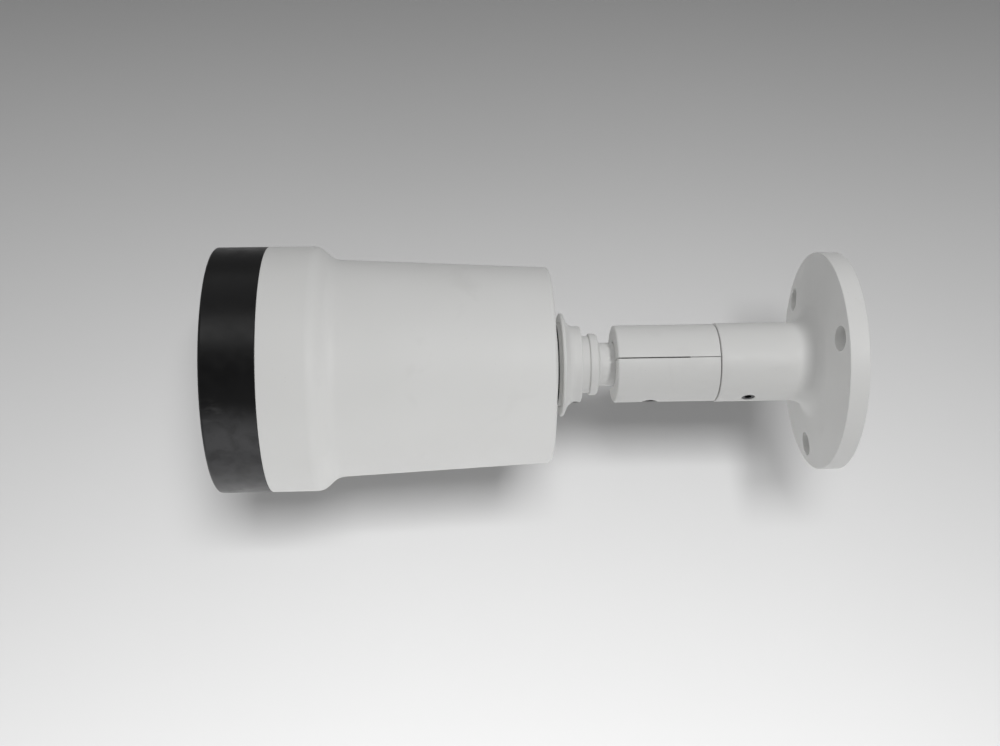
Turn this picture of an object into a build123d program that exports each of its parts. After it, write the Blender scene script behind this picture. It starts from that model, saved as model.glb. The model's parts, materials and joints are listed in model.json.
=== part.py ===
from build123d import *
import os
from math import asin, cos, pi, sin, sqrt

os.makedirs("parts", exist_ok=True)

# A bullet security camera on a hollow three-axis bracket. Millimetres.
# The wall is the plane Y = 0 and the camera looks along -Y. The axis of flange, arm and head is the Y axis, +Z is
# up. Outlines are closed lists of (radius, y) points, turned about that axis.
# Stations along Y and radii of the visible outside drive the rest.

# Wall flange and boss
FLANGE_R = 40.7
FLANGE_RIM_Y = -6.7
FLANGE_FACE_Y = -7.1
FLANGE_CONE_Y = -9.0
BOSS_R = 14.7
BOSS_FILLET = 8.0
BOSS_END_Y = -45.5
BOSS_BORE_R = 11.0
BOSS_BORE_END_Y = -20.0
CABLE_BORE_R = 8.0
RECESS_R = 23.0
RECESS_DEPTH = 5.0
WALL_HOLE_CIRCLE_R = 33.3
WALL_HOLE_R = 2.6
WALL_HOLE_HEAD_R = 4.5
WALL_HOLE_HEAD_DEPTH = 3.6
WALL_HOLE_ANGLES = (-5, 115, 235)

# Lock screws: a set screw whose dog point rides in a groove of the spigot it locks
LOCK_SCREW_R = 2.5
DOG_R = 1.9
GROOVE_HALF = 2.2
SPIGOT_CLEARANCE = 0.1
GROOVE_DEPTH = 1.6
PAN_LOCK_Y = -34.0
PAN_LOCK_ANGLE = 74
ROLL_LOCK_Y = -98.5
ROLL_LOCK_ANGLE = 90

# Arm: a sleeve split down its length
ARM_R = 14.4
ARM_FRONT_Y = -83.6
ARM_REAR_Y = -45.8
ARM_SPIGOT_END_Y = -22.0
ARM_CABLE_R = 7.5
PIVOT_Y = -70.3
PIVOT_R = 2.5
EYE_R = 10.0
EYE_GAP = 0.4
EYE_HALF = 7.3
SLOT_HALF = 8.3
WASHER = 0.9
SHELL_SCREW_Y = -52.5
SHELL_SCREW_Z = -10.6
SHELL_SCREW_HEAD_X = -4.2
PARTING_END_Y = -57.0

# Neck
NECK_R = 8.0
NECK_CABLE_R = 6.0
SHOULDER_R = 11.5
SHOULDER_FRONT_Y = -93.0
SHOULDER_REAR_Y = -90.3
NECK_SPIGOT_R = 10.6
NECK_SPIGOT_END_Y = -104.0

# Foot of the head
FOOT_R = 14.3
FOOT_REAR_Y = -96.1
FOOT_WAIST_Y = -100.4
SKIRT_R = 19.2
SKIRT_REAR_Y = -102.7
SKIRT_FRONT_Y = -103.8
FOOT_SEAT_R = 15.5
FOOT_SEAT_Y = -104.9
FOOT_SCREW_CIRCLE_R = 13.3

# Head
SHELL_REAR_Y = -107.6
SHELL_REAR_R = 36.3
TAPER_FRONT_Y = -182.7
TAPER_FRONT_R = 39.9
COLLAR_REAR_Y = -193.8
RING_REAR_Y = -209.6
FRONT_Y = -228.5
RING_R = 45.0
WALL = 2.7
THREAD_R = 41.5
THREAD_END_Y = -217.5
SEAL_Y = -212.0
LEDGE_Y = -112.8
LEDGE_R = 31.0
COVER_R = 34.2
COVER_REAR_Y = -108.9
COVER_FRONT_Y = -112.2
COVER_BOSS_R = 16.0
COVER_BOSS_Y = -105.4
COVER_SCREW_CIRCLE_R = 28.0
COVER_SCREW_ANGLES = (60, 180, 300)
BOSS_REACH = 6.5

# Window and the lamps behind it
LIP_R = 37.0
LIP_Y = -226.7
WINDOW_R = 39.5
WINDOW_FRONT_Y = -226.2
WINDOW_REAR_Y = -223.2
LED_BOARD_Y = -216.0
LED_CIRCLE_R = 27.0
LED_COUNT = 6
PILLAR_CIRCLE_R = 31.5
PILLAR_ANGLES = (30, 150, 270)
PLATE_FRONT_Y = -222.2
PLATE_REAR_Y = -217.0
PLATE_R = 36.4
PLATE_BORE_R = 16.9
CUP_REAR_R = 3.0
CUP_FRONT_R = 7.0
LIGHT_SENSOR_ANGLE = 330
LIGHT_SENSOR_CIRCLE_R = 32.0

# Lens
BARREL_BORE_R = 8.2
BARREL_R = 10.6
FOCUS_RING_Y = (-210.4, -204.0)
ZOOM_RING_Y = (-198.0, -191.6)
GRIP_RING_R = 13.6
GRIP_COUNT = 24
FOCUS_LOCK_ANGLE = 60
ZOOM_LOCK_ANGLE = 300
BARREL_REAR_Y = -186.0
BARREL_COLLAR_R = 12.9
CELL_BORE_R = 6.6
FRONT_CELL_R = 11.9
FRONT_CELL_REAR_Y = -209.6
FRONT_CELL_SHOULDER_Y = -214.6
FRONT_CELL_SEAT_Y = -217.0
FRONT_CELL_FRONT_Y = -221.5
FRONT_LENS_R = 9.25
FRONT_LENS_EDGE_Y = -218.8
FRONT_LENS_CROWN_Y = -221.0
REAR_CELL_Y = (-203.5, -191.5)
REAR_CELL_STOP_Y = (-194.5, -193.5)
REAR_LENS_FRONT_Y = (-198.6, -197.2)
REAR_LENS_REAR_Y = (-195.4, -194.5)
MOUNT_Y = (-190.6, -186.0)
MOUNT_PLATE_FRONT_Y = -187.6

# Filter switch: a slider with two filters in a frame between the lens and the sensor
FRAME_HALF_X = 19.0
FRAME_HALF_Z = 12.0
FRAME_FRONT_Y = -186.0
SLIDE_WAY_Y = (-184.6, -181.0)
SLIDE_WAY_HALF_X = 17.6
SLIDE_WAY_HALF_Z = 8.2
LIGHT_WAY_R = 6.0
SENSOR_ROOM_Y = -179.6
SLIDER_X = (-15.8, 6.2)
SLIDER_Y = (-183.6, -181.8)
SLIDER_HALF_Z = 8.0
FILTER_SEAT_Y = -182.4
FILTER_REAR_Y = -181.9
FILTER_TRAVEL = 9.5
FILTER_HALF = 4.7

# Boards
BOARD = 1.6
SENSOR_BOARD_Y = -177.4
SENSOR_BOARD_SIDE = 38.0
SENSOR_POST = 16.5
BULKHEAD_Y = (-172.5, -170.5)
BULKHEAD_R = 35.6
CHASSIS_SCREW_ANGLES = (90, 210, 330)
TRAY_Z = -14.0
TRAY_REAR_Y = -116.0
TRAY_X = (-26.0, 26.0)
TRAY_WALL = 1.6
TRAY_LIP = 5.0
MAIN_BOARD_Z = -4.0
MAIN_BOARD_Y = (-166.0, -120.0)
MAIN_BOARD_HALF = 25.0
MAIN_BOARD_PILLARS = [(x, y) for x in (-21.5, 21.5) for y in (-162.5, -123.5)]
CHIP_Y = (-158.0, -140.0)
CHIP_HALF = 9.0
CHIP_HEIGHT = 1.4
PAD_HEIGHT = 0.8
SINK_Y = (-161.0, -137.0)
SINK_HALF = 13.0
SINK_FLOOR = 2.4
SINK_HEIGHT = 11.0
FIN_COUNT = 7
FIN_HALF = 0.6
CONNECTOR_FRONT_Y = -130.0
CONNECTOR_HALF = 10.0
CONNECTOR_HEIGHT = 7.0
CONNECTOR_WALL = 1.2


# Shapes used many times -------------------------------------------------------------------------------

def turned(*outline):
    """Solid of revolution about the Y axis from a closed outline of (radius, y) points."""
    return revolve(make_face(Polyline(*outline, close=True)), Axis.Y)


def rod(radius, y_start, y_end, x=0, z=0):
    """Round bar along Y."""
    middle = (y_start + y_end) / 2
    return Pos(x, middle, z) * Rot(90, 0, 0) * Cylinder(radius, abs(y_end - y_start))


def ring(outer, inner, y_start, y_end, x=0, z=0):
    """Plain ring along Y."""
    return rod(outer, y_start, y_end, x, z) - rod(inner, y_start - 1, y_end + 1, x, z)


def cross_rod(radius, x_start, x_end, y, z=0):
    """Round bar along X."""
    middle = (x_start + x_end) / 2
    return Pos(middle, y, z) * Rot(0, 90, 0) * Cylinder(radius, abs(x_end - x_start))


def block(x_range, y_range, z_range):
    """Box between two corners, each range given as (low, high)."""
    sizes = [high - low for low, high in (x_range, y_range, z_range)]
    centre = [(high + low) / 2 for low, high in (x_range, y_range, z_range)]
    return Pos(*centre) * Box(*sizes)


def around(piece, angles):
    """Copies of a piece turned about Y; the angle runs from +Z towards +X."""
    return [Rot(0, angle, 0) * piece for angle in angles]


def evenly(count):
    """Angles of a full circle in equal steps."""
    return [360 * index / count for index in range(count)]


def o_ring(outer, inner, y):
    """Rubber ring about Y that fills a groove from its inner to its outer radius."""
    return Pos(0, y, 0) * Rot(90, 0, 0) * Torus((outer + inner) / 2, (outer - inner) / 2)


def dome(aperture, edge_y, crown_y):
    """Arc of a sphere about the Y axis, from the axis at crown_y out to the aperture at edge_y."""
    height = edge_y - crown_y
    radius = (aperture ** 2 + height ** 2) / (2 * height)
    half_angle = asin(aperture / abs(radius)) / 2
    middle = (abs(radius) * sin(half_angle), crown_y + radius * (1 - cos(half_angle)))
    return ThreePointArc((0, crown_y), middle, (aperture, edge_y))


def hex_socket(across_flats, depth):
    """Socket to cut down from Z = 0."""
    return Pos(0, 0, -depth / 2) * extrude(RegularPolygon(across_flats / sqrt(3), 6), depth / 2 + 0.5, both=True)


def cap_screw(shank_r, length, head_r, head_height, across_flats):
    """Socket head screw: underside of its head at Z = 0, head up."""
    head = Pos(0, 0, head_height / 2) * Cylinder(head_r, head_height)
    head = chamfer(head.edges().group_by(Axis.Z)[-1], 0.25)
    shank = Pos(0, 0, -length / 2) * Cylinder(shank_r, length)
    return head + shank - Pos(0, 0, head_height) * hex_socket(across_flats, head_height * 0.6)


def dog_screw(shank_r, top, shank_end, dog_r, dog_end, across_flats, depth):
    """Set screw with a dog point, along Z from its socket at Z = top down to dog_end."""
    shank = Pos(0, 0, (top + shank_end) / 2) * Cylinder(shank_r, top - shank_end)
    dog = Pos(0, 0, (shank_end + dog_end) / 2) * Cylinder(dog_r, shank_end - dog_end)
    return shank + dog - Pos(0, 0, top) * hex_socket(across_flats, depth)


FACING_REAR = Rot(-90, 0, 0)
FACING_FRONT = Rot(90, 0, 0)
FACING_RIGHT = Rot(0, 90, 0)
FACING_LEFT = Rot(0, -90, 0)


# Wall side --------------------------------------------------------------------------------------------

def make_wall_flange():
    """Round flange with a filleted boss, hollow back, cable bore and three counterbored holes."""
    fillet_end_y = FLANGE_CONE_Y
    fillet_start_y = fillet_end_y - BOSS_FILLET
    corner = BOSS_FILLET * (1 - cos(pi / 4))
    edges = [
        Polyline((CABLE_BORE_R, -RECESS_DEPTH), (RECESS_R, -RECESS_DEPTH), (RECESS_R, 0), (FLANGE_R, 0),
                 (FLANGE_R, FLANGE_RIM_Y), (FLANGE_R - 0.4, FLANGE_FACE_Y), (BOSS_R + BOSS_FILLET, fillet_end_y)),
        ThreePointArc((BOSS_R + BOSS_FILLET, fillet_end_y), (BOSS_R + corner, fillet_end_y - corner),
                      (BOSS_R, fillet_start_y)),
        Polyline((BOSS_R, fillet_start_y), (BOSS_R, BOSS_END_Y + 0.4), (BOSS_R - 0.4, BOSS_END_Y),
                 (BOSS_BORE_R + 0.4, BOSS_END_Y), (BOSS_BORE_R, BOSS_END_Y + 0.4), (BOSS_BORE_R, BOSS_BORE_END_Y),
                 (CABLE_BORE_R, BOSS_BORE_END_Y), (CABLE_BORE_R, -RECESS_DEPTH)),
    ]
    flange = revolve(make_face(edges), Axis.Y)
    through = rod(WALL_HOLE_R, -12, 2, z=WALL_HOLE_CIRCLE_R)
    counterbore = rod(WALL_HOLE_HEAD_R, -12, FLANGE_FACE_Y + WALL_HOLE_HEAD_DEPTH, z=WALL_HOLE_CIRCLE_R)
    for cut in around(through + counterbore, WALL_HOLE_ANGLES):
        flange -= cut
    lock_hole = Pos(0, PAN_LOCK_Y, BOSS_R) * Cylinder(LOCK_SCREW_R, 8)
    return flange - Rot(0, PAN_LOCK_ANGLE, 0) * lock_hole


def make_pan_lock_screw():
    """Set screw in the boss; its dog point rides in the arm's groove."""
    screw = dog_screw(LOCK_SCREW_R, BOSS_R - 0.5, BOSS_BORE_R + 0.3, DOG_R, BOSS_BORE_R - GROOVE_DEPTH + 0.3, 2.5, 2.2)
    return Rot(0, PAN_LOCK_ANGLE, 0) * (Pos(0, PAN_LOCK_Y, 0) * screw)


# Arm --------------------------------------------------------------------------------------------------

def make_arm():
    """The whole split sleeve, before it is cut in two: knuckle cavity, tilt slot, spigot and cable bore."""
    spigot_r = BOSS_BORE_R - SPIGOT_CLEARANCE
    groove_r = spigot_r - GROOVE_DEPTH
    seal_y = ARM_REAR_Y + 4
    arm = turned(
        (ARM_CABLE_R, ARM_FRONT_Y), (ARM_R - 0.8, ARM_FRONT_Y), (ARM_R, ARM_FRONT_Y + 0.8),
        (ARM_R, ARM_REAR_Y - 0.3), (ARM_R - 0.3, ARM_REAR_Y), (spigot_r, ARM_REAR_Y),
        (spigot_r, seal_y - 0.9), (spigot_r - 1.2, seal_y - 0.9), (spigot_r - 1.2, seal_y + 0.9),
        (spigot_r, seal_y + 0.9), (spigot_r, PAN_LOCK_Y - GROOVE_HALF), (groove_r, PAN_LOCK_Y - GROOVE_HALF),
        (groove_r, PAN_LOCK_Y + GROOVE_HALF), (spigot_r, PAN_LOCK_Y + GROOVE_HALF),
        (spigot_r, ARM_SPIGOT_END_Y - 0.5), (spigot_r - 0.5, ARM_SPIGOT_END_Y), (ARM_CABLE_R, ARM_SPIGOT_END_Y),
    )
    cavity = cross_rod(EYE_R + EYE_GAP, -SLOT_HALF, SLOT_HALF, PIVOT_Y)
    channel = rod(SLOT_HALF, ARM_FRONT_Y - 1, PIVOT_Y)
    slot = block((-SLOT_HALF, SLOT_HALF), (ARM_FRONT_Y - 1, PIVOT_Y + SLOT_HALF), (-ARM_R - 1, 0))
    head_from = SHELL_SCREW_HEAD_X
    screw_seat = cross_rod(2.4, -ARM_R, head_from, SHELL_SCREW_Y, SHELL_SCREW_Z)
    screw_hole = cross_rod(1.25, head_from, 6, SHELL_SCREW_Y, SHELL_SCREW_Z)
    pivot_hole = cross_rod(LOCK_SCREW_R + 0.3, SLOT_HALF - 0.5, ARM_R + 1, PIVOT_Y)
    pin_hole = cross_rod(LOCK_SCREW_R + 0.3, -SLOT_HALF + 0.5, -ARM_R + 1, PIVOT_Y)
    return arm - cavity - channel - slot - screw_seat - screw_hole - pivot_hole - pin_hole


def make_arm_half(arm, side):
    """One half of the sleeve; side is +1 for +X and -1 for -X. The parting line stands open along its top."""
    reach = side * 30
    half = arm & block(tuple(sorted((0, reach))), (-90, -20), (-30, 30))
    wide_relief = block((-0.25, 0.25), (ARM_FRONT_Y - 1, PARTING_END_Y), (EYE_R - 2, ARM_R + 1))
    fine_relief = block((-0.15, 0.15), (PARTING_END_Y, ARM_REAR_Y), (EYE_R - 2, ARM_R + 1))
    return half - wide_relief - fine_relief


def make_arm_shell_screw():
    """Small cap screw that pulls the two halves together, with its head in the left one."""
    screw = cap_screw(1.25, 9.6, 2.2, 2.0, 2)
    return Pos(SHELL_SCREW_HEAD_X, SHELL_SCREW_Y, SHELL_SCREW_Z) * FACING_LEFT * screw


def make_pan_o_ring():
    """Ring in the groove of the arm's spigot."""
    return o_ring(BOSS_BORE_R - 0.06, BOSS_BORE_R - SPIGOT_CLEARANCE - 1.18, ARM_REAR_Y + 4)


def make_tilt_lock_screw():
    """Right-hand half of the tilt pivot: a set screw with a long dog point in the eye."""
    screw = dog_screw(LOCK_SCREW_R + 0.3, ARM_R - 0.4, SLOT_HALF + 0.1, PIVOT_R - 0.05, 5.0, 3, 3)
    return Pos(0, PIVOT_Y, 0) * FACING_RIGHT * screw


def make_tilt_pivot_pin():
    """Left-hand half of the tilt pivot: a stepped pin pressed into the shell from inside."""
    body = cross_rod(LOCK_SCREW_R + 0.3, -SLOT_HALF - 0.1, -ARM_R + 1, PIVOT_Y)
    nose = cross_rod(PIVOT_R - 0.05, -5, -SLOT_HALF - 0.1, PIVOT_Y)
    return body + nose


# Neck -------------------------------------------------------------------------------------------------

def make_neck_knuckle():
    """Hollow eye on a hollow neck, with a rounded shoulder and a grooved spigot for the head's foot."""
    groove_r = NECK_SPIGOT_R - GROOVE_DEPTH
    seal_y = NECK_SPIGOT_END_Y + 1.7
    edges = [
        Polyline((NECK_R, SHOULDER_REAR_Y + 1.3), (NECK_R, PIVOT_Y - 6), (0, PIVOT_Y - 6), (0, NECK_SPIGOT_END_Y),
                 (NECK_SPIGOT_R - 0.4, NECK_SPIGOT_END_Y), (NECK_SPIGOT_R, NECK_SPIGOT_END_Y + 0.4),
                 (NECK_SPIGOT_R, seal_y - 0.7), (NECK_SPIGOT_R - 1.1, seal_y - 0.7),
                 (NECK_SPIGOT_R - 1.1, seal_y + 0.7), (NECK_SPIGOT_R, seal_y + 0.7),
                 (NECK_SPIGOT_R, ROLL_LOCK_Y - GROOVE_HALF + 0.2), (groove_r, ROLL_LOCK_Y - GROOVE_HALF + 0.2),
                 (groove_r, ROLL_LOCK_Y + GROOVE_HALF - 0.2), (NECK_SPIGOT_R, ROLL_LOCK_Y + GROOVE_HALF - 0.2),
                 (NECK_SPIGOT_R, SHOULDER_FRONT_Y), (SHOULDER_R - 0.5, SHOULDER_FRONT_Y),
                 (SHOULDER_R, SHOULDER_FRONT_Y + 0.5), (SHOULDER_R, SHOULDER_REAR_Y - 0.6)),
        Bezier((SHOULDER_R, SHOULDER_REAR_Y - 0.6), (SHOULDER_R, SHOULDER_REAR_Y + 0.6),
               (NECK_R, SHOULDER_REAR_Y - 0.4), (NECK_R, SHOULDER_REAR_Y + 1.3)),
    ]
    neck = revolve(make_face(edges), Axis.Y)
    eye = cross_rod(EYE_R, -EYE_HALF, EYE_HALF, PIVOT_Y)
    neck = neck + eye
    for side in (-1, 1):
        cheek = block(tuple(sorted((side * EYE_HALF, side * 12))), (PIVOT_Y - EYE_R, PIVOT_Y + 12), (-12, 12))
        neck -= cheek
    drum = cross_rod(EYE_R - 2.6, -4.5, 4.5, PIVOT_Y)
    window = block((-4.5, 4.5), (PIVOT_Y - 4, PIVOT_Y + 12), (-12, 4.6))
    bore = rod(NECK_CABLE_R, NECK_SPIGOT_END_Y - 1, PIVOT_Y - 5.5)
    pivot = cross_rod(PIVOT_R, -EYE_HALF - 1, EYE_HALF + 1, PIVOT_Y)
    return neck - drum - window - bore - pivot


def make_pivot_washers():
    """Friction washers between the eye's cheeks and the arm."""
    gap = (SLOT_HALF - EYE_HALF - WASHER) / 2
    washers = []
    for side in (-1, 1):
        near = side * (EYE_HALF + gap)
        far = side * (SLOT_HALF - gap)
        washers.append(cross_rod(6.5, near, far, PIVOT_Y) - cross_rod(PIVOT_R + 0.1, near, far, PIVOT_Y))
    return washers


def make_roll_o_ring():
    """Ring in the groove of the neck's spigot."""
    return o_ring(NECK_SPIGOT_R + 0.04, NECK_SPIGOT_R - 1.08, NECK_SPIGOT_END_Y + 1.7)


# Foot and rear of the head ----------------------------------------------------------------------------

def make_neck_foot():
    """Bell that the neck's spigot turns in: collar, flared skirt and a seat for the rear cover."""
    bore_r = NECK_SPIGOT_R + SPIGOT_CLEARANCE
    edges = [
        Polyline((FOOT_R, FOOT_WAIST_Y), (FOOT_R, FOOT_REAR_Y - 0.5), (FOOT_R - 0.5, FOOT_REAR_Y),
                 (bore_r + 0.3, FOOT_REAR_Y), (bore_r, FOOT_REAR_Y - 0.3), (bore_r, FOOT_SEAT_Y),
                 (FOOT_SEAT_R, FOOT_SEAT_Y), (FOOT_SEAT_R, SKIRT_FRONT_Y), (SKIRT_R, SKIRT_FRONT_Y),
                 (SKIRT_R, SKIRT_REAR_Y)),
        Bezier((SKIRT_R, SKIRT_REAR_Y), (SKIRT_R - 2.0, SKIRT_REAR_Y + 1.6), (FOOT_R, FOOT_WAIST_Y - 1.5),
               (FOOT_R, FOOT_WAIST_Y)),
    ]
    foot = revolve(make_face(edges), Axis.Y)
    lock_hole = Pos(0, ROLL_LOCK_Y, FOOT_R) * Cylinder(LOCK_SCREW_R - 0.5, 8)
    foot -= Rot(0, ROLL_LOCK_ANGLE, 0) * lock_hole
    for hole in around(rod(1.25, FOOT_SEAT_Y - 1, FOOT_SEAT_Y + 2.6, z=FOOT_SCREW_CIRCLE_R), COVER_SCREW_ANGLES):
        foot -= hole
    return foot


def make_roll_lock_screw():
    """Set screw in the foot; its dog point rides in the neck's groove."""
    bore_r = NECK_SPIGOT_R + SPIGOT_CLEARANCE
    screw = dog_screw(LOCK_SCREW_R - 0.5, FOOT_R - 0.4, bore_r + 0.3, DOG_R - 0.4, bore_r - GROOVE_DEPTH + 0.4, 2, 1.8)
    return Rot(0, ROLL_LOCK_ANGLE, 0) * (Pos(0, ROLL_LOCK_Y, 0) * screw)


def make_foot_gasket():
    """Flat gasket between the foot and the cover's boss."""
    gasket = ring(FOOT_SEAT_R, NECK_SPIGOT_R + 0.4, COVER_BOSS_Y, FOOT_SEAT_Y)
    for hole in around(rod(1.5, COVER_BOSS_Y - 1, FOOT_SEAT_Y + 1, z=FOOT_SCREW_CIRCLE_R), COVER_SCREW_ANGLES):
        gasket -= hole
    return gasket


def make_foot_screws():
    """Screws from inside the cover into the foot."""
    screw = Pos(0, COVER_FRONT_Y, FOOT_SCREW_CIRCLE_R) * FACING_FRONT * cap_screw(1.25, 9.4, 2.1, 1.8, 2)
    return around(screw, COVER_SCREW_ANGLES)


def make_rear_cover():
    """Round cover with a raised boss for the foot and counterbored screw holes near its edge."""
    cover = turned(
        (9, COVER_FRONT_Y), (COVER_R, COVER_FRONT_Y), (COVER_R, COVER_REAR_Y - 0.6),
        (COVER_R - 0.6, COVER_REAR_Y), (COVER_BOSS_R + 1, COVER_REAR_Y), (COVER_BOSS_R, COVER_REAR_Y + 1),
        (COVER_BOSS_R, COVER_BOSS_Y), (9, COVER_BOSS_Y),
    )
    edge_hole = rod(1.6, COVER_FRONT_Y - 1, COVER_REAR_Y + 1, z=COVER_SCREW_CIRCLE_R)
    edge_hole += rod(2.9, COVER_REAR_Y - 2.0, COVER_REAR_Y + 1, z=COVER_SCREW_CIRCLE_R)
    foot_hole = rod(1.5, COVER_FRONT_Y - 1, COVER_BOSS_Y + 1, z=FOOT_SCREW_CIRCLE_R)
    for cut in around(edge_hole, COVER_SCREW_ANGLES) + around(foot_hole, COVER_SCREW_ANGLES):
        cover -= cut
    return cover


def make_rear_cover_gasket():
    """Flat gasket on the shell's ledge."""
    return ring(COVER_R, LEDGE_R + 0.2, LEDGE_Y, COVER_FRONT_Y)


def make_rear_cover_screws():
    """Cap screws through the cover into the shell's bosses."""
    screw = Pos(0, COVER_REAR_Y - 2.0, COVER_SCREW_CIRCLE_R) * FACING_REAR * cap_screw(1.5, 9, 2.6, 1.9, 2.5)
    return around(screw, COVER_SCREW_ANGLES)


def make_cable_grommet():
    """Rubber gland in the cover's centre, with a flange inside and a bore for the cable."""
    return turned(
        (3, COVER_FRONT_Y - 2), (10.4, COVER_FRONT_Y - 2), (10.4, COVER_FRONT_Y), (9, COVER_FRONT_Y),
        (9, COVER_BOSS_Y - 0.4), (6.5, COVER_BOSS_Y - 0.2), (3, COVER_BOSS_Y - 2),
    )


# Housing ----------------------------------------------------------------------------------------------

def wall_boss(r, span, circle_r):
    """Screw boss on the +Z side, joined to the casting's wall outside it."""
    return rod(r, *span, z=circle_r) + block((-r, r), span, (circle_r, circle_r + BOSS_REACH))


def make_housing_shell():
    """One casting: threaded mouth, front collar, S-shaped step and tapered barrel, with bosses inside."""
    inner_front_r = TAPER_FRONT_R - WALL
    inner_rear_r = SHELL_REAR_R - WALL
    collar_inner_r = RING_R - WALL - 0.3
    step_middle_y = (COLLAR_REAR_Y + TAPER_FRONT_Y) / 2
    ledge_front_y = LEDGE_Y - 3
    edges = [
        Bezier((RING_R, COLLAR_REAR_Y), (RING_R, step_middle_y), (TAPER_FRONT_R + 0.1, step_middle_y - 0.6),
               (TAPER_FRONT_R, TAPER_FRONT_Y)),
        Polyline((TAPER_FRONT_R, TAPER_FRONT_Y), (SHELL_REAR_R, SHELL_REAR_Y - 1.6),
                 (SHELL_REAR_R - 0.5, SHELL_REAR_Y - 0.4), (SHELL_REAR_R - 1.4, SHELL_REAR_Y),
                 (COVER_R + 0.2, SHELL_REAR_Y), (COVER_R + 0.2, LEDGE_Y), (LEDGE_R, LEDGE_Y),
                 (LEDGE_R, ledge_front_y), (inner_rear_r, ledge_front_y - 3), (inner_front_r, TAPER_FRONT_Y)),
        Bezier((inner_front_r, TAPER_FRONT_Y), (inner_front_r, step_middle_y - 1.2),
               (collar_inner_r, step_middle_y - 1.6), (collar_inner_r, COLLAR_REAR_Y - 1)),
        Polyline((collar_inner_r, COLLAR_REAR_Y - 1), (collar_inner_r, RING_REAR_Y + 6),
                 (THREAD_R - 3, RING_REAR_Y + 2.4), (THREAD_R - 3, THREAD_END_Y), (THREAD_R - 0.5, THREAD_END_Y),
                 (THREAD_R, THREAD_END_Y + 0.5), (THREAD_R, SEAL_Y - 0.85), (THREAD_R - 1.3, SEAL_Y - 0.85),
                 (THREAD_R - 1.3, SEAL_Y + 0.85), (THREAD_R, SEAL_Y + 0.85), (THREAD_R, RING_REAR_Y),
                 (RING_R - 0.25, RING_REAR_Y), (RING_R, RING_REAR_Y + 0.25), (RING_R, COLLAR_REAR_Y)),
    ]
    shell = revolve(make_face(edges), Axis.Y)
    rear_boss = wall_boss(3.8, (LEDGE_Y - 10, LEDGE_Y), COVER_SCREW_CIRCLE_R)
    front_boss = wall_boss(3.4, (BULKHEAD_Y[1], BULKHEAD_Y[1] + 8), PILLAR_CIRCLE_R)
    for boss in around(rear_boss, COVER_SCREW_ANGLES) + around(front_boss, CHASSIS_SCREW_ANGLES):
        shell += boss
    rear_hole = rod(1.5, LEDGE_Y - 9, LEDGE_Y + 1, z=COVER_SCREW_CIRCLE_R)
    front_hole = rod(1.5, BULKHEAD_Y[1] - 1, BULKHEAD_Y[1] + 7, z=PILLAR_CIRCLE_R)
    for hole in around(rear_hole, COVER_SCREW_ANGLES) + around(front_hole, CHASSIS_SCREW_ANGLES):
        shell -= hole
    return shell


def make_front_seal():
    """Ring in the groove of the shell's threaded mouth."""
    return o_ring(THREAD_R - 0.01, THREAD_R - 1.28, SEAL_Y)


def make_front_ring():
    """Black ring that screws on to the shell and carries the window."""
    ring_part = turned(
        (LIP_R, FRONT_Y), (RING_R, FRONT_Y), (RING_R, RING_REAR_Y - 0.25), (RING_R - 0.25, RING_REAR_Y),
        (THREAD_R + 0.02, RING_REAR_Y), (THREAD_R + 0.02, THREAD_END_Y - 0.5),
        (WINDOW_R + 0.3, THREAD_END_Y - 0.5), (WINDOW_R + 0.3, LIP_Y), (LIP_R, LIP_Y),
    )
    return fillet(ring_part.edges().group_by(Axis.Y)[0], 0.9)


def make_window_gasket():
    """Thin gasket between the ring's lip and the window."""
    return ring(WINDOW_R, LIP_R + 0.3, LIP_Y, WINDOW_FRONT_Y)


def make_front_window():
    """Flat round window with a bevelled front edge."""
    return turned((0, WINDOW_FRONT_Y), (WINDOW_R - 0.4, WINDOW_FRONT_Y), (WINDOW_R, WINDOW_FRONT_Y + 0.4),
                  (WINDOW_R, WINDOW_REAR_Y), (0, WINDOW_REAR_Y))


def make_window_clamp_ring():
    """Threaded ring behind the window, with four spanner slots."""
    clamp = ring(WINDOW_R + 0.3, WINDOW_R - 2.3, WINDOW_REAR_Y, WINDOW_REAR_Y + 2.6)
    slot = block((-1.5, 1.5), (WINDOW_REAR_Y + 1.4, WINDOW_REAR_Y + 3), (WINDOW_R - 3, WINDOW_R + 1))
    for cut in around(slot, evenly(4)):
        clamp -= cut
    return clamp


# Lamps behind the window ------------------------------------------------------------------------------

def make_reflector_plate():
    """Black plate with one conical cup for each lamp, and holes over the board's screws and the light sensor."""
    plate = ring(PLATE_R, PLATE_BORE_R, PLATE_FRONT_Y, PLATE_REAR_Y)
    cup = turned((0, PLATE_REAR_Y + 1), (CUP_REAR_R, PLATE_REAR_Y + 1), (CUP_REAR_R, PLATE_REAR_Y),
                 (CUP_FRONT_R, PLATE_FRONT_Y), (CUP_FRONT_R, PLATE_FRONT_Y - 1), (0, PLATE_FRONT_Y - 1))
    for cut in around(Pos(0, 0, LED_CIRCLE_R) * cup, evenly(LED_COUNT)):
        plate -= cut
    for cut in around(rod(2.9, PLATE_FRONT_Y + 1.5, PLATE_REAR_Y + 1, z=PILLAR_CIRCLE_R), PILLAR_ANGLES):
        plate -= cut
    sight = rod(1.6, PLATE_FRONT_Y - 1, PLATE_REAR_Y + 1, z=LIGHT_SENSOR_CIRCLE_R)
    return plate - Rot(0, LIGHT_SENSOR_ANGLE, 0) * sight


def make_ir_led_board():
    """Ring-shaped lamp board."""
    board = ring(36.5, 17.0, LED_BOARD_Y, LED_BOARD_Y + BOARD)
    for hole in around(rod(1.1, LED_BOARD_Y - 1, LED_BOARD_Y + 3, z=PILLAR_CIRCLE_R), PILLAR_ANGLES):
        board -= hole
    return board


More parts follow.
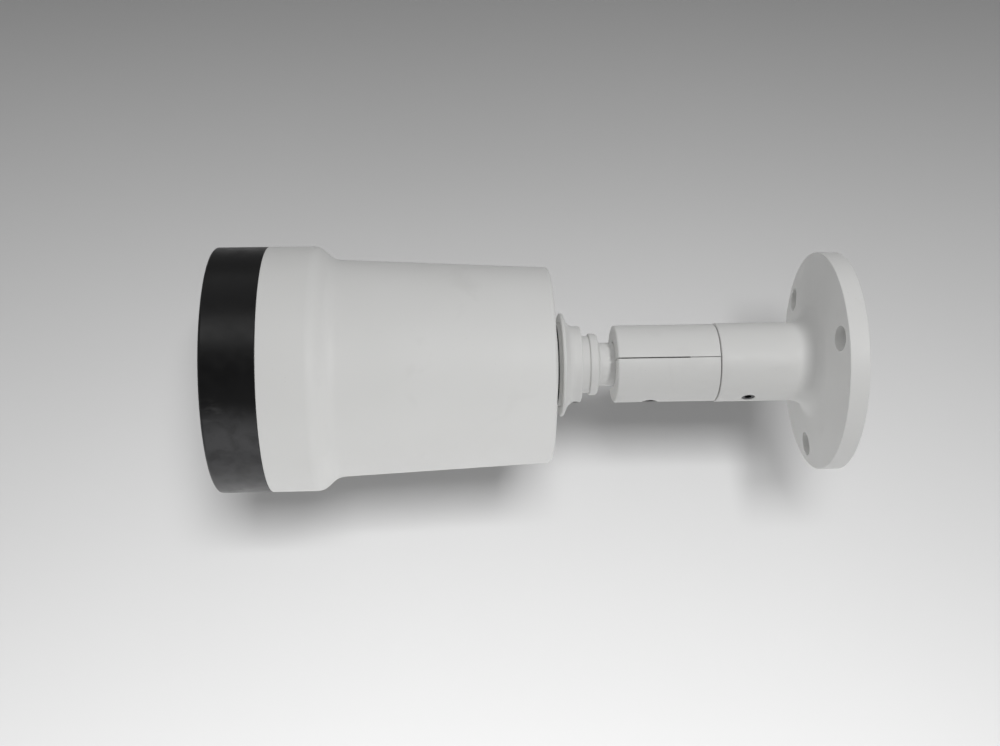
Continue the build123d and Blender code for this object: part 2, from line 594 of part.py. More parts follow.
def make_ir_leds():
    """Surface-mounted infrared lamps, each a square base under a dome."""
    base = block((-1.8, 1.8), (LED_BOARD_Y - 1.2, LED_BOARD_Y), (LED_CIRCLE_R - 1.8, LED_CIRCLE_R + 1.8))
    dome = Pos(0, LED_BOARD_Y - 1.2, LED_CIRCLE_R) * Sphere(1.5)
    dome &= block((-3, 3), (LED_BOARD_Y - 4, LED_BOARD_Y - 1.2), (LED_CIRCLE_R - 3, LED_CIRCLE_R + 3))
    return around(base + dome, evenly(LED_COUNT))


def make_light_sensor():
    """Small photocell that switches the lamps on at dusk."""
    return Rot(0, LIGHT_SENSOR_ANGLE, 0) * rod(1.3, LED_BOARD_Y - 3.4, LED_BOARD_Y, z=LIGHT_SENSOR_CIRCLE_R)


def make_led_board_pillars():
    """Long spacers from the bulkhead to the lamp board."""
    pillar = rod(2.4, LED_BOARD_Y + BOARD, BULKHEAD_Y[0], z=PILLAR_CIRCLE_R)
    pillar -= rod(1.0, LED_BOARD_Y, LED_BOARD_Y + 8, z=PILLAR_CIRCLE_R)
    return around(pillar, PILLAR_ANGLES)


def make_led_board_screws():
    """Screws that hold the lamp board on its spacers."""
    screw = Pos(0, LED_BOARD_Y, PILLAR_CIRCLE_R) * FACING_FRONT * cap_screw(1.0, 6, 1.9, 1.6, 1.5)
    return around(screw, PILLAR_ANGLES)


def make_lens_shroud():
    """Soft sleeve from the lens to the window that keeps the lamps' light out of the lens."""
    return ring(16.4, 12.6, WINDOW_REAR_Y, LED_BOARD_Y + 3)


# Lens -------------------------------------------------------------------------------------------------

def make_lens_barrel():
    """Fixed tube with a collar between the two grip rings."""
    front_y = FOCUS_RING_Y[0] - 2.6
    collar_front_y = FOCUS_RING_Y[1] + 0.3
    collar_rear_y = ZOOM_RING_Y[0] - 0.3
    return turned(
        (BARREL_BORE_R, front_y), (BARREL_R, front_y), (BARREL_R, collar_front_y),
        (BARREL_COLLAR_R, collar_front_y), (BARREL_COLLAR_R, collar_rear_y), (BARREL_R, collar_rear_y),
        (BARREL_R, BARREL_REAR_Y), (BARREL_BORE_R, BARREL_REAR_Y),
    )


def make_grip_ring(y_range, screw_angle):
    """Knurled ring that turns on the barrel, with a tapped hole for its lock screw."""
    grip = ring(GRIP_RING_R, BARREL_R + 0.08, *y_range)
    notch = rod(0.55, y_range[0] - 1, y_range[1] + 1, z=GRIP_RING_R + 0.1)
    for cut in around(notch, evenly(GRIP_COUNT)):
        grip -= cut
    hole = Pos(0, sum(y_range) / 2, GRIP_RING_R) * Cylinder(1.0, 8)
    return grip - Rot(0, screw_angle, 0) * hole


def make_grip_lock_screw(y_range, screw_angle):
    """Thumb screw of a grip ring."""
    shank = Pos(0, 0, 13.2) * Cylinder(1.0, 4.4)
    knob = Pos(0, 0, 17.2) * Cylinder(1.9, 4.0)
    knob = chamfer(knob.edges().group_by(Axis.Z)[-1], 0.3)
    return Rot(0, screw_angle, 0) * (Pos(0, sum(y_range) / 2, 0) * (shank + knob))


def make_front_cell():
    """Front lens holder that slides in the barrel as the focus ring turns."""
    guide_r = BARREL_BORE_R - 0.1
    return turned(
        (CELL_BORE_R, FRONT_CELL_REAR_Y), (guide_r, FRONT_CELL_REAR_Y), (guide_r, FRONT_CELL_SHOULDER_Y),
        (FRONT_CELL_R, FRONT_CELL_SHOULDER_Y), (FRONT_CELL_R, FRONT_CELL_FRONT_Y + 0.5),
        (FRONT_CELL_R - 0.5, FRONT_CELL_FRONT_Y), (FRONT_LENS_R + 0.35, FRONT_CELL_FRONT_Y),
        (FRONT_LENS_R + 0.05, FRONT_CELL_SEAT_Y), (CELL_BORE_R, FRONT_CELL_SEAT_Y + 0.8),
    )


def make_front_lens():
    """Thick front element with a domed outer face."""
    side = Polyline((FRONT_LENS_R, FRONT_LENS_EDGE_Y), (FRONT_LENS_R, FRONT_CELL_SEAT_Y), (0, FRONT_CELL_SEAT_Y),
                    (0, FRONT_LENS_CROWN_Y))
    return revolve(make_face([dome(FRONT_LENS_R, FRONT_LENS_EDGE_Y, FRONT_LENS_CROWN_Y), side]), Axis.Y)


def make_rear_cell():
    """Rear lens holder that slides in the barrel as the zoom ring turns."""
    return ring(BARREL_BORE_R - 0.1, CELL_BORE_R, *REAR_CELL_Y) + ring(CELL_BORE_R + 0.1, 5.2, *REAR_CELL_STOP_Y)


def make_rear_lens():
    """Rear element, domed on both sides."""
    front_crown_y, front_edge_y = REAR_LENS_FRONT_Y
    rear_edge_y, rear_crown_y = REAR_LENS_REAR_Y
    edges = [
        dome(CELL_BORE_R, front_edge_y, front_crown_y), Line((CELL_BORE_R, front_edge_y), (CELL_BORE_R, rear_edge_y)),
        dome(CELL_BORE_R, rear_edge_y, rear_crown_y), Line((0, rear_crown_y), (0, front_crown_y)),
    ]
    return revolve(make_face(edges), Axis.Y)


def make_lens_mount():
    """Holder that clamps the barrel over the filter frame."""
    plate = block((-FRAME_HALF_X, FRAME_HALF_X), (MOUNT_PLATE_FRONT_Y, MOUNT_Y[1]), (-FRAME_HALF_Z, FRAME_HALF_Z))
    return ring(14.0, BARREL_R, *MOUNT_Y) + (plate - rod(BARREL_R, MOUNT_Y[0], MOUNT_Y[1] + 1))


# Filter switch and sensor -----------------------------------------------------------------------------

def make_ir_cut_frame():
    """Box with a slot that the filter slider runs in, open along the lens axis, standing on the sensor board."""
    half_x, half_z = FRAME_HALF_X, FRAME_HALF_Z
    frame = block((-half_x, half_x), (FRAME_FRONT_Y, SENSOR_BOARD_Y), (-half_z, half_z))
    frame -= block((-SLIDE_WAY_HALF_X, SLIDE_WAY_HALF_X), SLIDE_WAY_Y, (-SLIDE_WAY_HALF_Z, SLIDE_WAY_HALF_Z))
    frame -= block((2 - half_x, half_x - 2), (SENSOR_ROOM_Y, SENSOR_BOARD_Y + 1), (2 - half_z, half_z - 2))
    return frame - rod(LIGHT_WAY_R, FRAME_FRONT_Y - 1, SENSOR_ROOM_Y + 1)


def make_ir_cut_slider():
    """Plate with two windows, one for each filter."""
    front_y, rear_y = SLIDER_Y
    plate = block(SLIDER_X, SLIDER_Y, (-SLIDER_HALF_Z, SLIDER_HALF_Z))
    for centre in (0, -FILTER_TRAVEL):
        half = FILTER_HALF - 0.7
        plate -= block((centre - half, centre + half), (front_y - 1, rear_y + 1), (-half, half))
        rebate = block((centre - FILTER_HALF, centre + FILTER_HALF), (FILTER_SEAT_Y, rear_y + 1),
                       (-FILTER_HALF, FILTER_HALF))
        plate -= rebate
    return plate


def make_filter(centre):
    """Square filter glass in its rebate."""
    half = FILTER_HALF - 0.05
    return block((centre - half, centre + half), (FILTER_SEAT_Y, FILTER_REAR_Y), (-half, half))


def make_ir_cut_motor():
    """Small actuator on top of the filter frame."""
    case = block((6, 16), (FRAME_FRONT_Y + 0.6, -180), (FRAME_HALF_Z, FRAME_HALF_Z + 4.5))
    return case + rod(2.0, FRAME_FRONT_Y - 1.4, FRAME_FRONT_Y + 0.6, x=11, z=FRAME_HALF_Z + 2.2)


def make_image_sensor():
    """Sensor package with a shallow glass rebate."""
    package = block((-7, 7), (SENSOR_BOARD_Y - 1.6, SENSOR_BOARD_Y), (-6, 6))
    return package - block((-5.4, 5.4), (SENSOR_BOARD_Y - 2, SENSOR_BOARD_Y - 1.2), (-4.4, 4.4))


def make_sensor_board():
    """Square board behind the lens."""
    half = SENSOR_BOARD_SIDE / 2
    board = block((-half, half), (SENSOR_BOARD_Y, SENSOR_BOARD_Y + BOARD), (-half, half))
    for x in (-SENSOR_POST, SENSOR_POST):
        for z in (-SENSOR_POST, SENSOR_POST):
            board -= rod(1.1, SENSOR_BOARD_Y - 1, SENSOR_BOARD_Y + 3, x, z)
    return board


def make_sensor_board_screws():
    """Screws at the board's corners into the bulkhead's posts."""
    screw = FACING_FRONT * cap_screw(1.0, 5.5, 1.9, 1.5, 1.5)
    places = [(x, z) for x in (-SENSOR_POST, SENSOR_POST) for z in (-SENSOR_POST, SENSOR_POST)]
    return [Pos(x, SENSOR_BOARD_Y, z) * screw for x, z in places]


# Inner frame and main board ---------------------------------------------------------------------------

def make_chassis():
    """Bulkhead across the shell with posts for the sensor board, and a tray that runs to the rear."""
    front_y, rear_y = BULKHEAD_Y
    tray_y = (rear_y - 1, TRAY_REAR_Y)
    left, right = TRAY_X
    chassis = rod(BULKHEAD_R, front_y, rear_y) - block((-12, 12), (front_y - 1, rear_y + 1), (-10, 10))
    chassis += block(TRAY_X, tray_y, (TRAY_Z, TRAY_Z + TRAY_WALL))
    for low in (left, right - TRAY_WALL):
        chassis += block((low, low + TRAY_WALL), tray_y, (TRAY_Z, TRAY_Z + TRAY_LIP))
    for x in (-SENSOR_POST, SENSOR_POST):
        for z in (-SENSOR_POST, SENSOR_POST):
            post = rod(2.4, SENSOR_BOARD_Y + BOARD, front_y + 0.5, x, z)
            chassis += post
            chassis -= rod(1.0, SENSOR_BOARD_Y, rear_y + 1, x, z)
    for hole in around(rod(1.6, front_y - 1, rear_y + 1, z=PILLAR_CIRCLE_R), CHASSIS_SCREW_ANGLES):
        chassis -= hole
    return chassis


def make_chassis_screws():
    """Screws through the bulkhead into the shell's bosses."""
    screw = Pos(0, BULKHEAD_Y[0], PILLAR_CIRCLE_R) * FACING_FRONT * cap_screw(1.5, 8, 2.6, 1.9, 2.5)
    return around(screw, CHASSIS_SCREW_ANGLES)


def make_main_board():
    """Processor and power board above the tray."""
    board = block((-MAIN_BOARD_HALF, MAIN_BOARD_HALF), MAIN_BOARD_Y, (MAIN_BOARD_Z, MAIN_BOARD_Z + BOARD))
    for x, y in MAIN_BOARD_PILLARS:
        board -= Pos(x, y, MAIN_BOARD_Z) * Cylinder(1.3, 8)
    return board


def make_main_board_pillars():
    """Spacers between the tray and the board."""
    foot_z = TRAY_Z + TRAY_WALL
    height = MAIN_BOARD_Z - foot_z
    pillars = []
    for x, y in MAIN_BOARD_PILLARS:
        pillar = Pos(x, y, foot_z + height / 2) * (Cylinder(2.2, height) - Cylinder(1.25, height))
        pillars.append(pillar)
    return pillars


def make_main_board_screws():
    """Screws through the board into the spacers."""
    screw = cap_screw(1.25, 7, 2.2, 1.6, 1.5)
    return [Pos(x, y, MAIN_BOARD_Z + BOARD) * screw for x, y in MAIN_BOARD_PILLARS]


def make_processor():
    """Main chip."""
    top = MAIN_BOARD_Z + BOARD
    return block((-CHIP_HALF, CHIP_HALF), CHIP_Y, (top, top + CHIP_HEIGHT))


def make_thermal_pad():
    """Soft pad between the chip and the heat sink."""
    top = MAIN_BOARD_Z + BOARD + CHIP_HEIGHT
    half = CHIP_HALF - 0.5
    return block((-half, half), (CHIP_Y[0] + 0.5, CHIP_Y[1] - 0.5), (top, top + PAD_HEIGHT))


def make_heat_sink():
    """Finned block on the chip."""
    foot = MAIN_BOARD_Z + BOARD + CHIP_HEIGHT + PAD_HEIGHT
    sink = block((-SINK_HALF, SINK_HALF), SINK_Y, (foot, foot + SINK_FLOOR))
    pitch = 2 * (SINK_HALF - FIN_HALF) / (FIN_COUNT - 1)
    for index in range(FIN_COUNT):
        x = FIN_HALF - SINK_HALF + index * pitch
        sink += block((x - FIN_HALF, x + FIN_HALF), SINK_Y, (foot, foot + SINK_HEIGHT))
    return sink


def make_board_connector():
    """Socket at the rear of the main board for the cable's inner leads."""
    top = MAIN_BOARD_Z + BOARD
    rear_y = MAIN_BOARD_Y[1]
    inner = CONNECTOR_HALF - CONNECTOR_WALL
    socket = block((-CONNECTOR_HALF, CONNECTOR_HALF), (CONNECTOR_FRONT_Y, rear_y), (top, top + CONNECTOR_HEIGHT))
    room = block((-inner, inner), (CONNECTOR_FRONT_Y + 3, rear_y + 1),
                 (top + CONNECTOR_WALL, top + CONNECTOR_HEIGHT - CONNECTOR_WALL))
    return socket - room


# Assembly ---------------------------------------------------------------------------------------------

def make_nodes():
    """Every node of the assembly, by name; a list holds the separate solids of one group."""
    arm = make_arm()
    return {
        "wall_flange": make_wall_flange(),
        "pan_lock_screw": make_pan_lock_screw(),
        "arm_shell_right": make_arm_half(arm, 1),
        "arm_shell_left": make_arm_half(arm, -1),
        "arm_shell_screw": make_arm_shell_screw(),
        "pan_o_ring": make_pan_o_ring(),
        "tilt_lock_screw": make_tilt_lock_screw(),
        "tilt_pivot_pin": make_tilt_pivot_pin(),
        "neck_knuckle": make_neck_knuckle(),
        "pivot_washers": make_pivot_washers(),
        "roll_o_ring": make_roll_o_ring(),
        "neck_foot": make_neck_foot(),
        "roll_lock_screw": make_roll_lock_screw(),
        "foot_gasket": make_foot_gasket(),
        "foot_screws": make_foot_screws(),
        "rear_cover": make_rear_cover(),
        "rear_cover_gasket": make_rear_cover_gasket(),
        "rear_cover_screws": make_rear_cover_screws(),
        "cable_grommet": make_cable_grommet(),
        "housing_shell": make_housing_shell(),
        "front_seal": make_front_seal(),
        "front_ring": make_front_ring(),
        "window_gasket": make_window_gasket(),
        "front_window": make_front_window(),
        "window_clamp_ring": make_window_clamp_ring(),
        "reflector_plate": make_reflector_plate(),
        "ir_led_board": make_ir_led_board(),
        "ir_leds": make_ir_leds(),
        "light_sensor": make_light_sensor(),
        "led_board_pillars": make_led_board_pillars(),
        "led_board_screws": make_led_board_screws(),
        "lens_shroud": make_lens_shroud(),
        "lens_barrel": make_lens_barrel(),
        "focus_ring": make_grip_ring(FOCUS_RING_Y, FOCUS_LOCK_ANGLE),
        "focus_lock_screw": make_grip_lock_screw(FOCUS_RING_Y, FOCUS_LOCK_ANGLE),
        "zoom_ring": make_grip_ring(ZOOM_RING_Y, ZOOM_LOCK_ANGLE),
        "zoom_lock_screw": make_grip_lock_screw(ZOOM_RING_Y, ZOOM_LOCK_ANGLE),
        "front_cell": make_front_cell(),
        "front_lens": make_front_lens(),
        "rear_cell": make_rear_cell(),
        "rear_lens": make_rear_lens(),
        "lens_mount": make_lens_mount(),
        "ir_cut_frame": make_ir_cut_frame(),
        "ir_cut_slider": make_ir_cut_slider(),
        "ir_block_filter": make_filter(0),
        "clear_filter": make_filter(-FILTER_TRAVEL),
        "ir_cut_motor": make_ir_cut_motor(),
        "image_sensor": make_image_sensor(),
        "sensor_board": make_sensor_board(),
        "sensor_board_screws": make_sensor_board_screws(),
        "chassis": make_chassis(),
        "chassis_screws": make_chassis_screws(),
        "main_board": make_main_board(),
        "main_board_pillars": make_main_board_pillars(),
        "main_board_screws": make_main_board_screws(),
        "processor": make_processor(),
        "thermal_pad": make_thermal_pad(),
        "heat_sink": make_heat_sink(),
        "board_connector": make_board_connector(),
    }


for name, shape in make_nodes().items():
    solid = Compound(children=shape) if isinstance(shape, list) else shape
    export_step(solid, f"parts/{name}.step")
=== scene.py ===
"""Looks of the security camera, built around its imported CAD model. Metres, in the CAD's frame."""
import json
from math import cos, pi, radians, sin, tan

import bmesh
import bpy
from mathutils import Matrix, Vector


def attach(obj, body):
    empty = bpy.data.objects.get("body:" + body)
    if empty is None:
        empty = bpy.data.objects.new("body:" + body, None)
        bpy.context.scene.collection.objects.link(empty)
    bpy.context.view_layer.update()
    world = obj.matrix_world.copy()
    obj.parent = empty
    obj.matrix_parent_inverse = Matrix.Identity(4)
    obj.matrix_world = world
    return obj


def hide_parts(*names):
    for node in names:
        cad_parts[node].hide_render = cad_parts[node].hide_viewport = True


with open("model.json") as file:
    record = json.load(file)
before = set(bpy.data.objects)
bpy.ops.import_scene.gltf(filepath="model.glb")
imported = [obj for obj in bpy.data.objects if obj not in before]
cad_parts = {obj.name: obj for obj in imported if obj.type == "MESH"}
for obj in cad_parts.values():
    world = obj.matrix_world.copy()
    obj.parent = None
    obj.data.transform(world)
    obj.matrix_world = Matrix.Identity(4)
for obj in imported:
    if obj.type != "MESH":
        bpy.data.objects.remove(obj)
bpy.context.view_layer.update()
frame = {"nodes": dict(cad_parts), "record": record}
NODES = frame["nodes"]
MM = 0.001

# The camera that takes the picture
LENS_MM = 43.56
CAMERA_DISTANCE = 0.4502
CAMERA_TARGET = Vector((0.0027, -0.1258, 0))
CAMERA_ELEVATION = radians(82)
CAMERA_YAW = radians(2.8)
CAMERA_ROLL = radians(-1.33)
FLOOR_Z = -0.165

# Brightness of the surround
ZENITH_LEVEL = 0.12
HORIZON_LEVEL = 0.62

# Stations along Y and radii, in millimetres. They are the CAD model's, apart from edges that are softer here.
# Flange and its boss
FLANGE_R = 40.7
FLANGE_FACE_Y = -7.0
BOSS_R = 14.7
BOSS_FOOT_Y = -9.8
BOSS_FILLET = 8.0
BOSS_END_Y = -45.5
BOSS_BORE_R = 11.0
BOSS_BORE_END_Y = -20.0
CABLE_BORE_R = 8.0
RECESS_R = 23.0
RECESS_END_Y = -5.0
WALL_HOLE_CIRCLE_R = 33.3
WALL_HOLE_ANGLES = [radians(angle) for angle in (-5, 115, 235)]
PAN_LOCK_HOLE_R = 2.5
PAN_LOCK_Y = -34.0
PAN_LOCK_ANGLE = radians(74)
PAN_GROOVE_R = 9.3
PAN_GROOVE_HALF = 2.2

# Arm
ARM_R = 14.4
ARM_FRONT_Y = -83.6
ARM_REAR_Y = -45.8
ARM_SPIGOT_R = 10.9
ARM_SPIGOT_END_Y = -22.0
O_RING_GROOVE_R = 9.7
O_RING_FRONT_Y = -42.7
O_RING_REAR_Y = -40.9
ARM_CABLE_R = 7.5
PIVOT_Y = -70.3
SLOT_HALF = 8.3
SLIT_HALF = 0.24
PARTING_HALF = 0.13
PARTING_END_Y = -57.0
ARM_SCREW_Y = -52.5
ARM_SCREW_Z = -10.6

# Neck and the head's foot
EYE_R = 10.0
EYE_HALF = 7.3
EYE_BORE_R = 7.4
EYE_BORE_HALF = 4.5
PIVOT_R = 2.5
NECK_R = 8.0
NECK_REAR_Y = -76.0
NECK_CABLE_R = 6.0
SHOULDER_R = 11.5
SHOULDER_REAR_Y = -90.0
SHOULDER_FRONT_Y = -93.0
NECK_SPIGOT_R = 10.6
NECK_SPIGOT_END_Y = -104.0
ROLL_GROOVE_R = 9.0
ROLL_GROOVE_HALF = 1.9
FOOT_R = 14.3
FOOT_BORE_R = 10.7
FOOT_REAR_Y = -96.1
FOOT_WAIST_Y = -100.4
SKIRT_R = 19.2
SKIRT_REAR_Y = -102.7
SKIRT_FRONT_Y = -103.8
FOOT_SEAT_R = 15.5
FOOT_SEAT_Y = -104.9
ROLL_LOCK_HOLE_R = 2.0
ROLL_LOCK_Y = -98.5
ROLL_LOCK_ANGLE = radians(90)

# Rear cover
COVER_R = 34.2
COVER_BORE_R = 9.0
COVER_REAR_Y = -108.9
COVER_FRONT_Y = -112.2
COVER_BOSS_R = 16.0
COVER_BOSS_Y = -105.4
COVER_SCREW_CIRCLE_R = 28.0
COVER_SCREW_ANGLES = [radians(angle) for angle in (60, 180, 300)]

# Housing and front ring
SHELL_REAR_Y = -107.6
SHELL_REAR_R = 36.3
LEDGE_R = 31.0
LEDGE_Y = -112.8
TAPER_FRONT_Y = -182.7
TAPER_FRONT_R = 39.9
COLLAR_REAR_Y = -193.8
RING_REAR_Y = -209.6
THREAD_R = 41.5
THREAD_END_Y = -217.5
RING_R = 45.0
FRONT_Y = -228.5
LIP_R = 37.0
LIP_Y = -226.7

# Behind the window
PLATE_REAR_Y = -217.0
PLATE_FRONT_Y = -222.2
LED_BOARD_Y = -216.0
CELL_BORE_R = 6.6
CELL_R = 11.9
CELL_REAR_Y = -209.6
CELL_SHOULDER_R = 8.1
CELL_SHOULDER_Y = -214.6
CELL_SEAT_Y = -217.0
LED_CIRCLE_R = 27.0
LED_ANGLES = [radians(60 * index) for index in range(6)]
LED_DOME_R = 1.5
PILLAR_CIRCLE_R = 31.5
PILLAR_ANGLES = [radians(angle) for angle in (30, 150, 270)]
LIGHT_SENSOR_CIRCLE_R = 32.0
LIGHT_SENSOR_ANGLE = radians(330)

ALONG_Y = Matrix.Rotation(-pi / 2, 4, "X")
ALONG_X = Matrix.Rotation(pi / 2, 4, "Y")


# Camera, light and floor ------------------------------------------------------------------------------

def look_at(obj, eye, target, up):
    """Places obj at eye, with its -Z towards target and its +Y as near as possible to up."""
    back = (eye - target).normalized()
    right = up.cross(back).normalized()
    turn = Matrix((right, back.cross(right), back)).transposed()
    obj.matrix_world = Matrix.Translation(eye) @ turn.to_4x4()


def make_camera():
    """Looks down on the object from nearly overhead, with the wall flange at the right of the picture."""
    overhead = Vector((cos(CAMERA_ELEVATION), 0, sin(CAMERA_ELEVATION)))
    back = cos(CAMERA_YAW) * overhead + sin(CAMERA_YAW) * Vector((0, -1, 0))
    data = bpy.data.cameras.new("camera")
    data.lens = LENS_MM
    data.sensor_width = 36
    data.clip_start = 0.01
    camera = bpy.data.objects.new("camera", data)
    bpy.context.scene.collection.objects.link(camera)
    look_at(camera, CAMERA_TARGET + back * CAMERA_DISTANCE, CAMERA_TARGET, Vector((-1, 0, 0)))
    camera.matrix_world = camera.matrix_world @ Matrix.Rotation(CAMERA_ROLL, 4, "Z")
    bpy.context.scene.camera = camera


def area_light(name, eye, target, sizes, watts, spread=180):
    """Soft light that the camera doesn't see, its sizes along Y and across; a low spread fades its sides."""
    data = bpy.data.lights.new(name, "AREA")
    data.shape = "RECTANGLE"
    data.size_y, data.size = sizes
    data.energy = watts
    data.spread = radians(spread)
    light = bpy.data.objects.new(name, data)
    bpy.context.scene.collection.objects.link(light)
    light.visible_camera = False
    look_at(light, Vector(eye), Vector(target), Vector((0, 1, 0)))
    return light


def make_world():
    """Even studio surround: pale at the horizon, darker overhead."""
    world = bpy.data.worlds.new("studio")
    world.use_nodes = True
    nodes, links = world.node_tree.nodes, world.node_tree.links
    axes = nodes.new("ShaderNodeSeparateXYZ")
    links.new(nodes.new("ShaderNodeTexCoord").outputs["Generated"], axes.inputs["Vector"])
    ramp = nodes.new("ShaderNodeMapRange")
    ends = {"From Min": 0.95, "From Max": 0, "To Min": ZENITH_LEVEL, "To Max": HORIZON_LEVEL}
    for key, number in ends.items():
        ramp.inputs[key].default_value = number
    links.new(axes.outputs["Z"], ramp.inputs["Value"])
    links.new(ramp.outputs["Result"], nodes["Background"].inputs["Strength"])
    nodes["Background"].inputs["Color"].default_value = (1, 1, 1, 1)
    bpy.context.scene.world = world
    bpy.context.scene.view_settings.view_transform = "Standard"


def reach(light, state, *objects):
    """Lets a light reach only the objects (INCLUDE) or everything but them (EXCLUDE)."""
    group = bpy.data.collections.new(light.name + "_reach")
    for obj in objects:
        group.objects.link(obj)
    for member in group.collection_objects:
        member.light_linking.link_state = state
    light.light_linking.receiver_collection = group


def make_lights(floor, housing, front_ring):
    """Two lights for the whole object, one for the head's near side, two for the floor and its shadow."""
    lamp = area_light("lamp", (-0.10, 0.25, 1.0), (0.45, -0.11, FLOOR_Z), (0.14, 0.14), 1.38, 90)
    softbox = area_light("softbox", (-0.45, -0.36, 0.88), (0, -0.12, 0), (0.5, 0.4), 0.95)
    side_panel = area_light("side_panel", (0.7, -0.15, 0.25), (0, -0.16, 0), (0.6, 0.5), 1.05)
    shadow_lamp = area_light(
        "shadow_lamp", (0.01, -0.11, 0.8), (2.3, -0.10, FLOOR_Z), (0.15, 0.28), 19.5, 168)
    floor_panel = area_light(
        "floor_panel", (0.85, -0.12, 0.35), (0.85, -0.12, FLOOR_Z), (1.4, 1.2), 4.2, 110)
    reach(lamp, "EXCLUDE", floor)
    reach(softbox, "EXCLUDE", floor)
    reach(side_panel, "INCLUDE", housing, front_ring)
    reach(shadow_lamp, "INCLUDE", floor)
    reach(floor_panel, "INCLUDE", floor)


# Materials --------------------------------------------------------------------------------------------

class Surface:
    """A Principled material with helpers for the nodes that drive it."""

    def __init__(self, name, colour, roughness, metallic=0.0, **inputs):
        self.material = bpy.data.materials.new(name)
        self.material.use_nodes = True
        self.nodes = self.material.node_tree.nodes
        self.links = self.material.node_tree.links
        self.shader = self.nodes["Principled BSDF"]
        self.where = self.nodes.new("ShaderNodeTexCoord").outputs["Object"]
        self.colour = colour
        self.shader.inputs["Base Color"].default_value = (*colour, 1)
        self.shader.inputs["Roughness"].default_value = roughness
        self.shader.inputs["Metallic"].default_value = metallic
        for key, value in inputs.items():
            self.shader.inputs[key.replace("_", " ")].default_value = value

    def noise(self, scale, detail=2.0, stretch=(1, 1, 1), distortion=0.0):
        """Noise over the surface; scale is in features per metre."""
        mapping = self.nodes.new("ShaderNodeMapping")
        mapping.inputs["Scale"].default_value = stretch
        self.links.new(self.where, mapping.inputs["Vector"])
        noise = self.nodes.new("ShaderNodeTexNoise")
        noise.inputs["Scale"].default_value = scale
        noise.inputs["Detail"].default_value = detail
        noise.inputs["Distortion"].default_value = distortion
        self.links.new(mapping.outputs["Vector"], noise.inputs["Vector"])
        return noise.outputs["Fac"]

    def cells(self, scale, feature="F1", stretch=(1, 1, 1)):
        """Cell pattern over the surface."""
        mapping = self.nodes.new("ShaderNodeMapping")
        mapping.inputs["Scale"].default_value = stretch
        self.links.new(self.where, mapping.inputs["Vector"])
        cells = self.nodes.new("ShaderNodeTexVoronoi")
        cells.feature = feature
        cells.inputs["Scale"].default_value = scale
        self.links.new(mapping.outputs["Vector"], cells.inputs["Vector"])
        return cells.outputs["Distance"]

    def ramp(self, value, low, high, start=0.0, end=1.0):
        """Value mapped from low..high to start..end, clamped."""
        node = self.nodes.new("ShaderNodeMapRange")
        for key, number in (("From Min", low), ("From Max", high), ("To Min", start), ("To Max", end)):
            node.inputs[key].default_value = number
        self.links.new(value, node.inputs["Value"])
        return node.outputs["Result"]

    def near(self, centre, inner, outer):
        """1 within inner millimetres of a point on the object, falling to 0 at outer."""
        away = self.nodes.new("ShaderNodeVectorMath")
        away.operation = "DISTANCE"
        away.inputs[1].default_value = [value * MM for value in centre]
        self.links.new(self.where, away.inputs[0])
        return self.ramp(away.outputs["Value"], outer * MM, inner * MM)

    def along(self, axis):
        """Position along X, Y or Z of the object, in metres."""
        axes = self.nodes.new("ShaderNodeSeparateXYZ")
        self.links.new(self.where, axes.inputs["Vector"])
        return axes.outputs[axis]

    def product(self, first, second):
        """Two values multiplied."""
        node = self.nodes.new("ShaderNodeMath")
        node.operation = "MULTIPLY"
        self.links.new(first, node.inputs[0])
        self.links.new(second, node.inputs[1])
        return node.outputs[0]

    def tint(self, value, other):
        """Base colour moves from its present source to another colour as value goes from 0 to 1."""
        mix = self.nodes.new("ShaderNodeMix")
        mix.data_type = "RGBA"
        base = self.shader.inputs["Base Color"]
        if base.is_linked:
            self.links.new(base.links[0].from_socket, mix.inputs["A"])
        else:
            mix.inputs["A"].default_value = (*self.colour, 1)
        mix.inputs["B"].default_value = (*other, 1)
        self.links.new(value, mix.inputs["Factor"])
        self.links.new(mix.outputs["Result"], base)

    def rough(self, value):
        """Roughness from nodes."""
        self.links.new(value, self.shader.inputs["Roughness"])

    def bump(self, value, height, strength=1.0):
        """Height in metres for value 1; several calls stack up."""
        bump = self.nodes.new("ShaderNodeBump")
        bump.inputs["Distance"].default_value = height
        bump.inputs["Strength"].default_value = strength
        self.links.new(value, bump.inputs["Height"])
        normal = self.shader.inputs["Normal"]
        if normal.is_linked:
            self.links.new(normal.links[0].from_socket, bump.inputs["Normal"])
        self.links.new(bump.outputs["Normal"], normal)


def make_powder_coat():
    """Satin white powder coat: fine orange peel, a slow change of tone, handling marks and dust specks."""
    coat = Surface("powder_coat", (0.80, 0.80, 0.79), 0.5, Specular_IOR_Level=0.35)
    coat.tint(coat.ramp(coat.noise(14, 3), 0.35, 0.65), (0.775, 0.775, 0.762))
    grime = coat.ramp(coat.noise(60, 6, distortion=0.6), 0.62, 0.80, 0.0, 0.25)
    coat.tint(grime, (0.64, 0.635, 0.62))
    specks = coat.ramp(coat.cells(420), 0.055, 0.03, 0.0, 0.5)
    coat.tint(coat.product(specks, coat.ramp(coat.noise(45, 2), 0.5, 0.62)), (0.45, 0.44, 0.42))
    coat.rough(coat.ramp(coat.noise(170, 5), 0.3, 0.7, 0.44, 0.58))
    coat.bump(coat.noise(1300, 2), 0.000012, 0.8)
    coat.bump(coat.noise(420, 2), 0.00002, 0.5)
    return coat.material


